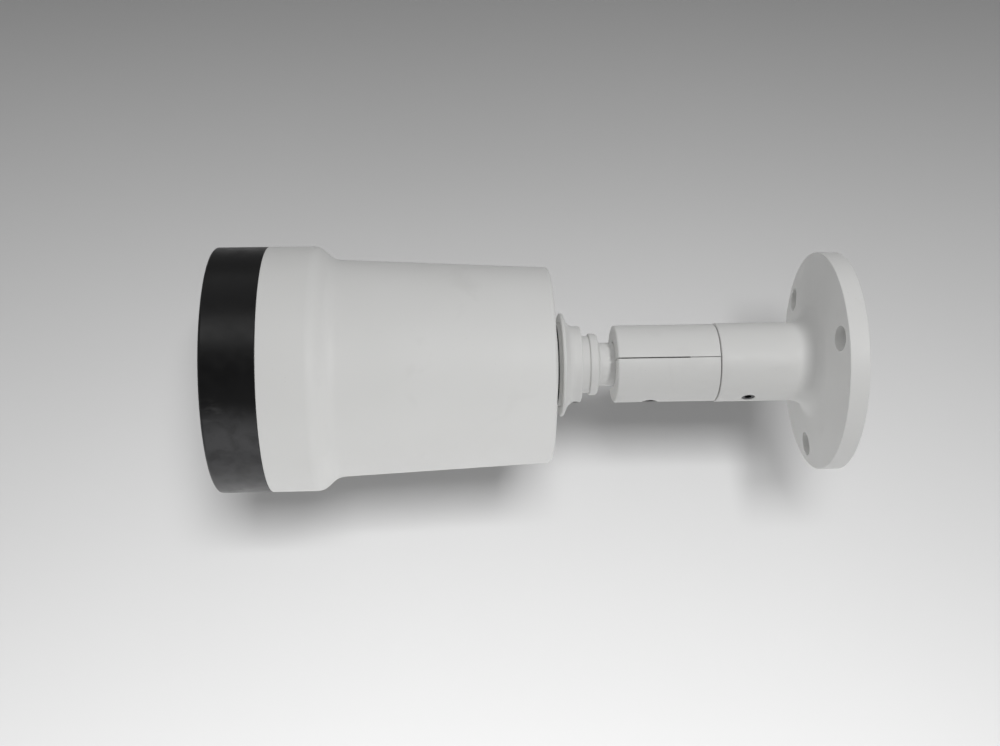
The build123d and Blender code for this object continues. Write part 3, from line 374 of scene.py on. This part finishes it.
def make_ring_black():
    """Satin black moulding: etched grain, rubs and a painted sheen on its lit +X side, a little dust all
    over.
    """
    black = Surface("ring_black", (0.004, 0.004, 0.0042), 0.33, Specular_IOR_Level=0.30)
    black.tint(black.ramp(black.noise(22, 3), 0.40, 0.70, 0.0, 0.8), (0.006, 0.006, 0.0064))
    # Painted sheen: the +X side of the ring, where light falls from below, is lightened, with an uneven edge.
    lit_side = black.ramp(black.along("X"), 0.0165, 0.0200)
    painted_sheen = black.product(black.near((40, -219, 26), 17, 30), lit_side)
    uneven = black.ramp(black.noise(190, 4, distortion=0.5), 0.32, 0.56, 0.45, 1.0)
    black.tint(black.product(painted_sheen, uneven), (0.034, 0.034, 0.036))
    rubbed = black.ramp(black.noise(520, 4, (1, 0.35, 1)), 0.48, 0.66, 0.0, 0.5)
    black.tint(black.product(rubbed, black.near((20.4, -225.2, 40), 1.5, 6)), (0.06, 0.06, 0.06))
    dust = black.ramp(black.cells(650), 0.06, 0.035, 0.0, 0.4)
    black.tint(black.product(dust, black.ramp(black.noise(70, 2), 0.57, 0.68)), (0.10, 0.095, 0.09))
    black.rough(black.ramp(black.noise(240, 5), 0.3, 0.7, 0.28, 0.38))
    black.bump(black.noise(3200, 2), 0.000006, 0.8)
    return black.material


def make_metal(name, colour, roughness, grain, dirt):
    """Machined metal: fine grain, uneven polish and a film of dirt."""
    metal = Surface(name, colour, roughness, 1.0)
    metal.tint(metal.ramp(metal.noise(500, 4), 0.45, 0.75, 0.0, 0.6), dirt)
    metal.rough(metal.ramp(metal.noise(900, 4, grain), 0.3, 0.7, roughness * 0.75, roughness * 1.35))
    metal.bump(metal.noise(4000, 2, grain), 0.000004, 0.6)
    return metal.material


def make_plastic(name, colour, roughness, worn, grain=2600, depth=0.000008):
    """Moulded plastic or rubber: etched grain and a slightly worn tone."""
    plastic = Surface(name, colour, roughness)
    plastic.tint(plastic.ramp(plastic.noise(120, 4), 0.4, 0.7, 0.0, 0.8), worn)
    plastic.rough(plastic.ramp(plastic.noise(400, 4), 0.3, 0.7, roughness * 0.85, min(1, roughness * 1.2)))
    plastic.bump(plastic.noise(grain, 2), depth, 0.8)
    return plastic.material


def make_glass(name, colour, roughness=0.0, ior=1.5, film_nm=0.0):
    """Clear glass that lets the lamps' light through to what is behind it, with an optional coating."""
    glass = Surface(name, colour, roughness, Transmission_Weight=1.0, IOR=ior)
    if film_nm:
        glass.shader.inputs["Thin Film Thickness"].default_value = film_nm
        glass.shader.inputs["Thin Film IOR"].default_value = 1.38
    smears = glass.noise(55, 4, distortion=0.8)
    glass.rough(glass.ramp(smears, 0.52, 0.80, roughness, roughness + 0.05))
    clear = glass.nodes.new("ShaderNodeBsdfTransparent")
    path = glass.nodes.new("ShaderNodeLightPath")
    mix = glass.nodes.new("ShaderNodeMixShader")
    output = glass.nodes["Material Output"]
    glass.links.new(path.outputs["Is Shadow Ray"], mix.inputs["Fac"])
    glass.links.new(glass.shader.outputs["BSDF"], mix.inputs[1])
    glass.links.new(clear.outputs["BSDF"], mix.inputs[2])
    glass.links.new(mix.outputs["Shader"], output.inputs["Surface"])
    return glass.material


def make_board_green():
    """Circuit board: solder mask over a hint of copper tracks."""
    board = Surface("board_green", (0.020, 0.115, 0.055), 0.32)
    tracks = board.ramp(board.cells(260, "DISTANCE_TO_EDGE", (1, 1, 0.6)), 0.05, 0.08)
    board.tint(tracks, (0.030, 0.16, 0.075))
    board.rough(board.ramp(board.noise(300, 3), 0.3, 0.7, 0.26, 0.42))
    board.bump(tracks, 0.00003, 0.6)
    return board.material


def make_photocell():
    """Light sensor: dark tracks that wind over an orange cell, under a clear lacquer."""
    cell = Surface("photocell", (0.50, 0.17, 0.05), 0.25, Coat_Weight=0.6)
    bands = cell.nodes.new("ShaderNodeTexWave")
    bands.inputs["Scale"].default_value = 420
    bands.inputs["Distortion"].default_value = 1.2
    cell.links.new(cell.where, bands.inputs["Vector"])
    tracks = cell.ramp(bands.outputs["Fac"], 0.45, 0.60)
    cell.tint(tracks, (0.06, 0.022, 0.012))
    cell.bump(tracks, 0.00004, 0.6)
    cell.rough(cell.ramp(cell.noise(800, 3), 0.3, 0.7, 0.2, 0.34))
    return cell.material


def make_floor_paint():
    """Plain pale surface with the faintest unevenness."""
    paint = Surface("floor_paint", (0.55, 0.55, 0.55), 0.75)
    paint.tint(paint.ramp(paint.noise(5, 3), 0.3, 0.7), (0.54, 0.54, 0.54))
    paint.bump(paint.noise(600, 3), 0.00003, 0.4)
    return paint.material


def make_materials():
    """One material for each slot of the record, and one for the floor."""
    turned = (1, 0.15, 1)
    even = (1, 1, 1)
    metals = {
        "screw_black": ((0.085, 0.085, 0.09), 0.34, turned, (0.05, 0.048, 0.045)),
        "screw_steel": ((0.60, 0.60, 0.61), 0.26, turned, (0.42, 0.41, 0.40)),
        "frame_aluminium": ((0.74, 0.74, 0.75), 0.22, even, (0.62, 0.62, 0.63)),
    }
    plastics = {
        "rubber_black": ((0.022, 0.022, 0.022), 0.72, (0.035, 0.034, 0.033), 1500),
        "washer_nylon": ((0.72, 0.71, 0.67), 0.48, (0.66, 0.64, 0.60)),
        "clamp_black": ((0.018, 0.018, 0.019), 0.55, (0.028, 0.028, 0.029)),
        "lens_black": ((0.020, 0.020, 0.022), 0.42, (0.032, 0.032, 0.034), 3600, 0.000005),
        "slider_black": ((0.035, 0.035, 0.035), 0.60, (0.05, 0.05, 0.05)),
        "chip_black": ((0.030, 0.030, 0.033), 0.50, (0.045, 0.045, 0.048), 5000),
        "motor_grey": ((0.22, 0.22, 0.23), 0.45, (0.28, 0.28, 0.29)),
        "pad_grey": ((0.42, 0.42, 0.44), 0.80, (0.48, 0.48, 0.50), 900),
        "connector_white": ((0.74, 0.73, 0.68), 0.45, (0.68, 0.66, 0.60)),
    }
    glasses = {
        "window_glass": ((0.97, 0.985, 0.98),),
        "lens_glass": ((0.90, 0.94, 0.97), 0.0, 1.62, 125),
        "led_clear": ((0.93, 0.93, 0.90), 0.03, 1.52),
        "filter_red": ((0.75, 0.30, 0.34),),
        "filter_clear": ((0.93, 0.97, 0.96),),
    }
    materials = {
        "powder_coat": make_powder_coat(),
        "ring_black": make_ring_black(),
        "board_green": make_board_green(),
        "photocell": make_photocell(),
        "floor": make_floor_paint(),
    }
    for make, rows in ((make_metal, metals), (make_plastic, plastics), (make_glass, glasses)):
        for name, values in rows.items():
            materials[name] = make(name, *values)
    return materials


# Mesh tools -------------------------------------------------------------------------------------------

def rounded(*corners, steps=5):
    """Closed outline from (radius, station, corner radius) corners, each turned into an arc."""
    points = []
    for index, (radius, station, size) in enumerate(corners):
        here = Vector((radius, station))
        before = (Vector(corners[index - 1][:2]) - here).normalized()
        after = (Vector(corners[(index + 1) % len(corners)][:2]) - here).normalized()
        if size == 0:
            points.append((radius, station))
            continue
        half = before.angle(after) / 2
        centre = here + (before + after).normalized() * size / sin(half)
        start = here + before * size / tan(half) - centre
        end = here + after * size / tan(half) - centre
        for step in range(steps + 1):
            spoke = start.lerp(end, step / steps).normalized() * size
            points.append(tuple(centre + spoke))
    return points


def swept(start, pull_start, pull_end, end, steps=16):
    """Points of a Bezier curve between two outline points, both ends left out."""
    points = []
    for step in range(1, steps):
        t = step / steps
        weights = ((1 - t) ** 3, 3 * t * (1 - t) ** 2, 3 * t * t * (1 - t), t ** 3)
        controls = (start, pull_start, pull_end, end)
        sums = [sum(w * c[axis] for w, c in zip(weights, controls)) for axis in range(2)]
        points.append(tuple(sums))
    return points


def divided(points, longest):
    """Outline with its long stretches cut into shorter ones."""
    result = []
    for here, after in zip(points, points[1:] + points[:1]):
        here, after = Vector(here), Vector(after)
        count = max(1, int((after - here).length / longest))
        result += [tuple(here.lerp(after, index / count)) for index in range(count)]
    return result


def new_object(name, mesh):
    """Object with that mesh, in the scene."""
    obj = bpy.data.objects.new(name, mesh)
    bpy.context.scene.collection.objects.link(obj)
    return obj


def lathe(name, points, place=ALONG_Y, segments=144):
    """Turned mesh about Z from a closed outline of (radius, height) points in millimetres, put in place."""
    edit = bmesh.new()
    turns = [2 * pi * index / segments for index in range(segments)]
    rings = []
    for radius, height in points:
        if radius < 1e-6:
            places = [(0, 0, height * MM)]
        else:
            places = [(radius * MM * cos(turn), radius * MM * sin(turn), height * MM) for turn in turns]
        rings.append([edit.verts.new(place) for place in places])
    for near, far in zip(rings, rings[1:] + rings[:1]):
        if len(near) == len(far) == 1:
            continue
        for index in range(segments):
            after = (index + 1) % segments
            near_corners = [near[index % len(near)], near[after % len(near)]]
            far_corners = [far[after % len(far)], far[index % len(far)]]
            edit.faces.new(list(dict.fromkeys(near_corners + far_corners)))
    bmesh.ops.recalc_face_normals(edit, faces=edit.faces)
    mesh = bpy.data.meshes.new(name)
    edit.to_mesh(mesh)
    edit.free()
    mesh.transform(place)
    return new_object(name, mesh)


def drum(radius, low, high, place=ALONG_Y, lip=0.0, segments=48):
    """Cylinder between two heights, to cut or join with; lip widens its top end into a chamfer."""
    top = [(radius, high), (0, high)]
    if lip:
        top = [(radius, high - 2 * lip), (radius + 2 * lip, high), (0, high)]
    return lathe("tool", [(0, low), (radius, low)] + top, place, segments)


def brick(x_range, y_range, z_range):
    """Box between two corners, to cut or join with."""
    edit = bmesh.new()
    bmesh.ops.create_cube(edit, size=1)
    ranges = (x_range, y_range, z_range)
    sizes = [(high - low) * MM for low, high in ranges]
    centre = Vector([(high + low) / 2 * MM for low, high in ranges])
    bmesh.ops.scale(edit, vec=sizes, verts=edit.verts)
    bmesh.ops.translate(edit, vec=centre, verts=edit.verts)
    mesh = bpy.data.meshes.new("tool")
    edit.to_mesh(mesh)
    edit.free()
    return new_object("tool", mesh)


def at(place, x=0, y=0, z=0):
    """Placement moved by millimetres."""
    return Matrix.Translation((x * MM, y * MM, z * MM)) @ place


def turned_to(angle, place):
    """Placement turned about the Y axis, from +Z towards +X."""
    return Matrix.Rotation(angle, 4, "Y") @ place


def apply_modifiers(obj):
    """Bakes an object's modifiers into its mesh."""
    graph = bpy.context.evaluated_depsgraph_get()
    mesh = bpy.data.meshes.new_from_object(obj.evaluated_get(graph))
    obj.modifiers.clear()
    obj.data = mesh


def combined(obj, tools, operation="DIFFERENCE"):
    """Cuts the tools from obj, or joins them to it with operation UNION, and removes them."""
    for tool in tools:
        modifier = obj.modifiers.new("combine", "BOOLEAN")
        modifier.operation = operation
        modifier.solver = "EXACT"
        modifier.object = tool
    apply_modifiers(obj)
    for tool in tools:
        bpy.data.objects.remove(tool)
    return obj


def joined(name, objects):
    """One object from several that don't touch."""
    edit = bmesh.new()
    for obj in objects:
        edit.from_mesh(obj.data)
        bpy.data.objects.remove(obj)
    mesh = bpy.data.meshes.new(name)
    edit.to_mesh(mesh)
    edit.free()
    return new_object(name, mesh)


def softened(obj, width, above=radians(38)):
    """Breaks the sharp edges that cutting leaves."""
    modifier = obj.modifiers.new("soften", "BEVEL")
    modifier.width = width * MM
    modifier.segments = 2
    modifier.limit_method = "ANGLE"
    modifier.angle_limit = above
    apply_modifiers(obj)
    return obj


def finished(obj, body, slot, replaces=(), crease=radians(35)):
    """Smooths a new piece between its creases, then gives it its slot's material, hangs it on its body and
    hides the CAD nodes it stands in for.
    """
    edit = bmesh.new()
    edit.from_mesh(obj.data)
    bmesh.ops.dissolve_degenerate(edit, edges=edit.edges, dist=1e-7)
    for face in edit.faces:
        face.smooth = True
    for edge in edit.edges:
        edge.smooth = edge.calc_face_angle(0) < crease
    edit.to_mesh(obj.data)
    edit.free()
    weigh = obj.modifiers.new("weigh_normals", "WEIGHTED_NORMAL")
    weigh.keep_sharp = True
    obj.data.materials.clear()
    obj.data.materials.append(MATERIALS[slot])
    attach(obj, body)
    if replaces:
        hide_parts(*replaces)
    return obj


# Wall side --------------------------------------------------------------------------------------------

def make_flange():
    """Cast flange with rounded edges, filleted boss, hollow back and three counterbored holes."""
    outline = rounded(
        (FLANGE_R, 0, 0.3), (FLANGE_R, FLANGE_FACE_Y, 0.35), (BOSS_R, BOSS_FOOT_Y, BOSS_FILLET),
        (BOSS_R, BOSS_END_Y, 0.45), (BOSS_BORE_R, BOSS_END_Y, 0.3), (BOSS_BORE_R, BOSS_BORE_END_Y, 0),
        (CABLE_BORE_R, BOSS_BORE_END_Y, 0.3), (CABLE_BORE_R, RECESS_END_Y, 0.4),
        (RECESS_R, RECESS_END_Y, 1.0), (RECESS_R, 0, 0.5), steps=8)
    flange = lathe("flange_casting", divided(outline, 6))
    hole = [(0, 1), (3.0, 1), (3.0, 0), (2.6, -0.4), (2.6, -3.5), (4.5, -3.5), (4.5, -12), (0, -12)]
    on_circle = at(ALONG_Y, z=WALL_HOLE_CIRCLE_R)
    tools = [lathe("tool", hole, turned_to(angle, on_circle), 64) for angle in WALL_HOLE_ANGLES]
    lock_way = turned_to(PAN_LOCK_ANGLE, at(Matrix(), y=PAN_LOCK_Y))
    tools.append(drum(PAN_LOCK_HOLE_R, 9, 15.0, lock_way, 0.25))
    combined(flange, tools)
    return finished(flange, "wall_base", "powder_coat", ["wall_flange"])


# Arm --------------------------------------------------------------------------------------------------

def make_arm_half(side):
    """Half of the split sleeve with its half of the tilt slot; side is +1 or -1."""
    groove_front = PAN_LOCK_Y - PAN_GROOVE_HALF
    groove_rear = PAN_LOCK_Y + PAN_GROOVE_HALF
    outline = rounded(
        (ARM_CABLE_R, ARM_FRONT_Y, 0.4), (ARM_R, ARM_FRONT_Y, 0.8), (ARM_R, ARM_REAR_Y, 0.35),
        (ARM_SPIGOT_R, ARM_REAR_Y, 0), (ARM_SPIGOT_R, O_RING_FRONT_Y, 0),
        (O_RING_GROOVE_R, O_RING_FRONT_Y, 0), (O_RING_GROOVE_R, O_RING_REAR_Y, 0),
        (ARM_SPIGOT_R, O_RING_REAR_Y, 0), (ARM_SPIGOT_R, groove_front, 0), (PAN_GROOVE_R, groove_front, 0),
        (PAN_GROOVE_R, groove_rear, 0), (ARM_SPIGOT_R, groove_rear, 0),
        (ARM_SPIGOT_R, ARM_SPIGOT_END_Y, 0.5), (ARM_CABLE_R, ARM_SPIGOT_END_Y, 0.5))
    name = "arm_casting_right" if side > 0 else "arm_casting_left"
    half = lathe(name, divided(outline, 5))
    across = at(ALONG_X, y=PIVOT_Y)
    slot = (-SLOT_HALF, SLOT_HALF)
    other_half = sorted((0, -side * 40))
    tools = [
        drum(EYE_R + 0.4, *slot, across, segments=96),
        drum(SLOT_HALF, -90, PIVOT_Y, segments=96),
        brick(slot, (-90, PIVOT_Y + SLOT_HALF), (-16, 0)),
        brick((-SLIT_HALF, SLIT_HALF), (-90, PARTING_END_Y), (8, 16)),
        brick((-PARTING_HALF, PARTING_HALF), (PARTING_END_Y - 1, -45.9), (8, 16)),
        drum(2.8, 7, 14.9, at(turned_to(side * pi / 2, Matrix()), y=PIVOT_Y), 0.3),
        brick(other_half, (-90, -20), (-40, 40)),
    ]
    if side < 0:
        along_minus_x = ALONG_X @ Matrix.Rotation(pi, 4, "X")
        tools.append(drum(2.4, 4.2, 16, at(along_minus_x, y=ARM_SCREW_Y, z=ARM_SCREW_Z)))
    combined(half, tools)
    softened(half, 0.14)
    return finished(half, "arm", "powder_coat", ["arm_shell_right" if side > 0 else "arm_shell_left"])


# Neck -------------------------------------------------------------------------------------------------

def make_knuckle():
    """Hollow eye, neck, rounded shoulder and grooved spigot."""
    groove_front = ROLL_LOCK_Y - ROLL_GROOVE_HALF
    groove_rear = ROLL_LOCK_Y + ROLL_GROOVE_HALF
    outline = rounded(
        (0, NECK_REAR_Y, 0), (NECK_R, NECK_REAR_Y, 0), (NECK_R, SHOULDER_REAR_Y + 0.6, 1.2),
        (SHOULDER_R, SHOULDER_REAR_Y, 1.2), (SHOULDER_R, SHOULDER_FRONT_Y, 0.5),
        (NECK_SPIGOT_R, SHOULDER_FRONT_Y, 0), (NECK_SPIGOT_R, groove_rear, 0),
        (ROLL_GROOVE_R, groove_rear, 0), (ROLL_GROOVE_R, groove_front, 0), (NECK_SPIGOT_R, groove_front, 0),
        (NECK_SPIGOT_R, NECK_SPIGOT_END_Y, 0.4), (0, NECK_SPIGOT_END_Y, 0))
    knuckle = lathe("knuckle_casting", divided(outline, 4), segments=96)
    across = at(ALONG_X, y=PIVOT_Y)
    combined(knuckle, [drum(EYE_R, -EYE_HALF, EYE_HALF, across, segments=96)], "UNION")
    tools = [
        brick((EYE_HALF, 14), (PIVOT_Y - EYE_R, -58), (-12, 12)),
        brick((-14, -EYE_HALF), (PIVOT_Y - EYE_R, -58), (-12, 12)),
        drum(EYE_BORE_R, -EYE_BORE_HALF, EYE_BORE_HALF, across, segments=96),
        brick((-EYE_BORE_HALF, EYE_BORE_HALF), (PIVOT_Y - 4, -58), (-12, 4.6)),
        drum(NECK_CABLE_R, -105, PIVOT_Y - 5.5),
        drum(PIVOT_R, -12, 12, across),
    ]
    combined(knuckle, tools)
    softened(knuckle, 0.25)
    return finished(knuckle, "neck", "powder_coat", ["neck_knuckle"])


# Foot and rear of the head ----------------------------------------------------------------------------

def make_foot():
    """Bell of the head that the spigot turns in."""
    outline = rounded(
        (FOOT_BORE_R, FOOT_SEAT_Y, 0), (FOOT_SEAT_R, FOOT_SEAT_Y, 0), (FOOT_SEAT_R, SKIRT_FRONT_Y, 0),
        (SKIRT_R, SKIRT_FRONT_Y, 0.35), (SKIRT_R, SKIRT_REAR_Y, 0.45), (FOOT_R, FOOT_WAIST_Y, 3.2),
        (FOOT_R, FOOT_REAR_Y, 0.6), (FOOT_BORE_R, FOOT_REAR_Y, 0.3))
    foot = lathe("foot_casting", divided(outline, 3))
    lock_way = turned_to(ROLL_LOCK_ANGLE, at(Matrix(), y=ROLL_LOCK_Y))
    combined(foot, [drum(ROLL_LOCK_HOLE_R, 9, 14.6, lock_way, 0.25)])
    return finished(foot, "head", "powder_coat", ["neck_foot"])


def make_rear_plate():
    """Rear cover with rounded edges, a shallow stiffening ring and counterbored screw holes."""
    outline = rounded(
        (COVER_BORE_R, COVER_FRONT_Y, 0), (COVER_R, COVER_FRONT_Y, 0.3), (COVER_R, COVER_REAR_Y, 0.6),
        (23.5, COVER_REAR_Y, 0.5), (22.9, COVER_REAR_Y - 0.6, 0.3), (20.6, COVER_REAR_Y - 0.6, 0.3),
        (20, COVER_REAR_Y, 0.5), (COVER_BOSS_R + 0.6, COVER_REAR_Y, 0.8), (COVER_BOSS_R, COVER_BOSS_Y, 0.4),
        (COVER_BORE_R, COVER_BOSS_Y, 0.3))
    plate = lathe("rear_plate", outline)
    hole = [(0, -114), (1.6, -114), (1.6, -110.9), (2.9, -110.9), (2.9, -109.2), (3.3, -108.8), (3.3, -106),
            (0, -106)]
    on_circle = at(ALONG_Y, z=COVER_SCREW_CIRCLE_R)
    combined(plate, [lathe("tool", hole, turned_to(angle, on_circle), 48) for angle in COVER_SCREW_ANGLES])
    return finished(plate, "head", "powder_coat", ["rear_cover"])


# Housing ----------------------------------------------------------------------------------------------

def make_housing():
    """Shell with its threaded mouth, front collar, S-shaped step and tapered barrel."""
    middle = (COLLAR_REAR_Y + TAPER_FRONT_Y) / 2
    step = swept((RING_R, COLLAR_REAR_Y), (RING_R, middle), (TAPER_FRONT_R + 0.1, middle - 0.6),
                 (TAPER_FRONT_R, TAPER_FRONT_Y), 24)
    walls = rounded(
        (TAPER_FRONT_R, TAPER_FRONT_Y, 0), (SHELL_REAR_R, SHELL_REAR_Y, 1.5), (34.4, SHELL_REAR_Y, 0.3),
        (34.4, LEDGE_Y, 0), (LEDGE_R, LEDGE_Y, 0), (LEDGE_R, -115.8, 0), (33.6, -118.8, 0),
        (36.8, TAPER_FRONT_Y, 0), (38.0, middle, 0), (41.9, middle - 2, 0), (42.0, -203.6, 0),
        (38.5, -207.2, 0), (38.5, THREAD_END_Y, 0.2), (THREAD_R, THREAD_END_Y, 0.3),
        (THREAD_R, RING_REAR_Y, 0), (RING_R, RING_REAR_Y, 0.25), (RING_R, COLLAR_REAR_Y, 0))
    shell = lathe("housing_casting", divided(walls + step, 8), segments=192)
    return finished(shell, "head", "powder_coat", ["housing_shell"])


def make_front_ring():
    """Black ring with softly rounded front edges."""
    bore = THREAD_R + 0.02
    outline = rounded(
        (LIP_R, FRONT_Y, 0.8), (RING_R, FRONT_Y, 1.0), (RING_R, RING_REAR_Y, 0.25), (bore, RING_REAR_Y, 0),
        (bore, -218, 0), (39.8, -218, 0), (39.8, LIP_Y, 0), (LIP_R, LIP_Y, 0.15), steps=8)
    ring = lathe("front_ring_moulding", divided(outline, 5), segments=192)
    return finished(ring, "head", "ring_black", ["front_ring"])


# Behind the window ------------------------------------------------------------------------------------

def make_reflector_plate():
    """Black plate with a cup for each lamp, a stepped rim and a hole for the light sensor."""
    outline = rounded(
        (16.9, PLATE_REAR_Y, 0), (16.9, -221.4, 0.2), (17.7, PLATE_FRONT_Y, 0.2), (35.4, PLATE_FRONT_Y, 0.3),
        (36.0, -221.4, 0.2), (36.4, -221.4, 0.2), (36.4, PLATE_REAR_Y, 0))
    plate = lathe("reflector_moulding", outline, segments=192)
    cup = [(0, LED_BOARD_Y), (3.05, LED_BOARD_Y), (3.05, PLATE_REAR_Y), (7.05, PLATE_FRONT_Y),
           (7.45, -222.6), (7.45, -224), (0, -224)]
    over_lamp = at(ALONG_Y, z=LED_CIRCLE_R)
    over_pillar = at(ALONG_Y, z=PILLAR_CIRCLE_R)
    over_sensor = turned_to(LIGHT_SENSOR_ANGLE, at(ALONG_Y, z=LIGHT_SENSOR_CIRCLE_R))
    tools = [lathe("tool", cup, turned_to(angle, over_lamp), 64) for angle in LED_ANGLES]
    tools += [drum(2.9, -220.7, -215, turned_to(angle, over_pillar)) for angle in PILLAR_ANGLES]
    tools.append(drum(1.6, -224, -215, over_sensor))
    combined(plate, tools)
    return finished(plate, "head", "clamp_black", ["reflector_plate"])


def make_reflector_cup(index, angle):
    """Bright cone round one lamp."""
    outline = rounded(
        (3.0, PLATE_REAR_Y, 0), (3.0, -217.3, 0), (6.85, -222.1, 0.1), (7.2, -222.1, 0.05), (7.0, -221.9, 0),
        (3.15, PLATE_REAR_Y, 0), steps=3)
    place = turned_to(angle, at(ALONG_Y, z=LED_CIRCLE_R))
    cup = lathe(f"reflector_cup_{index + 1}", outline, place, 72)
    return finished(cup, "head", "frame_aluminium")


def make_lamps():
    """Infrared lamps: square ceramic bases, bright pads with a die on each, and clear domes over them."""
    bases, pads, dies, domes = [], [], [], []
    base_half, die_half, pad_r = 1.8, 0.45, 1.2
    base_y = (-217.2, LED_BOARD_Y)
    die_y = (-217.55, -217.25)
    turns = [pi / 2 * index / 10 for index in range(10)]
    arc = [(LED_DOME_R * cos(turn), base_y[0] - LED_DOME_R * sin(turn)) for turn in turns]
    dome = [(0, -217.15), (LED_DOME_R, -217.15)] + arc + [(0, -218.7)]
    for angle in LED_ANGLES:
        place = turned_to(angle, at(ALONG_Y, z=LED_CIRCLE_R))
        for blocks, half, y_range in ((bases, base_half, base_y), (dies, die_half, die_y)):
            block = brick((-half, half), y_range, (LED_CIRCLE_R - half, LED_CIRCLE_R + half))
            block.data.transform(turned_to(angle, Matrix()))
            blocks.append(block)
        pads.append(drum(pad_r, -217.3, -217.1, place, segments=32))
        domes.append(lathe("dome", dome, place, 32))
    base = softened(joined("lamp_bases", bases), 0.12)
    finished(base, "head", "connector_white", ["ir_leds"])
    finished(joined("lamp_pads", pads), "head", "frame_aluminium")
    finished(joined("lamp_dies", dies), "head", "chip_black")
    finished(joined("lamp_domes", domes), "head", "led_clear")


def make_front_cell():
    """Lens holder with light-trap grooves round the front element."""
    outline = rounded(
        (CELL_BORE_R, CELL_REAR_Y, 0), (CELL_BORE_R, -216.2, 0), (9.3, CELL_SEAT_Y, 0), (9.45, -219.4, 0),
        (9.9, -219.9, 0.1), (9.95, -220.4, 0), (10.4, -220.4, 0.1), (10.45, -220.9, 0), (10.9, -220.9, 0.1),
        (10.95, -221.45, 0.1), (11.5, -221.5, 0.2), (CELL_R, -221.1, 0.2), (CELL_R, CELL_SHOULDER_Y, 0),
        (CELL_SHOULDER_R, CELL_SHOULDER_Y, 0), (CELL_SHOULDER_R, CELL_REAR_Y, 0), steps=3)
    cell = lathe("front_cell_turning", outline, segments=128)
    return finished(cell, "front_group", "lens_black", ["front_cell"])


# Everything -------------------------------------------------------------------------------------------

def make_floor():
    """Large plain pale floor below the reach of the tilted head."""
    edit = bmesh.new()
    bmesh.ops.create_grid(edit, x_segments=1, y_segments=1, size=20)
    mesh = bpy.data.meshes.new("floor")
    edit.to_mesh(mesh)
    edit.free()
    floor = new_object("floor", mesh)
    floor.location.z = FLOOR_Z
    mesh.materials.append(MATERIALS["floor"])
    return floor


def dress_cad_nodes():
    """Gives each CAD node the material of its slot."""
    for row in frame["record"]["subparts"]:
        materials = NODES[row["node"]].data.materials
        materials.clear()
        materials.append(MATERIALS[row["material_slot"]])


make_camera()
make_world()
MATERIALS = make_materials()
dress_cad_nodes()
make_flange()
make_arm_half(1)
make_arm_half(-1)
make_knuckle()
make_foot()
make_rear_plate()
make_lights(make_floor(), make_housing(), make_front_ring())
make_reflector_plate()
for cup_index, cup_angle in enumerate(LED_ANGLES):
    make_reflector_cup(cup_index, cup_angle)
make_lamps()
make_front_cell()
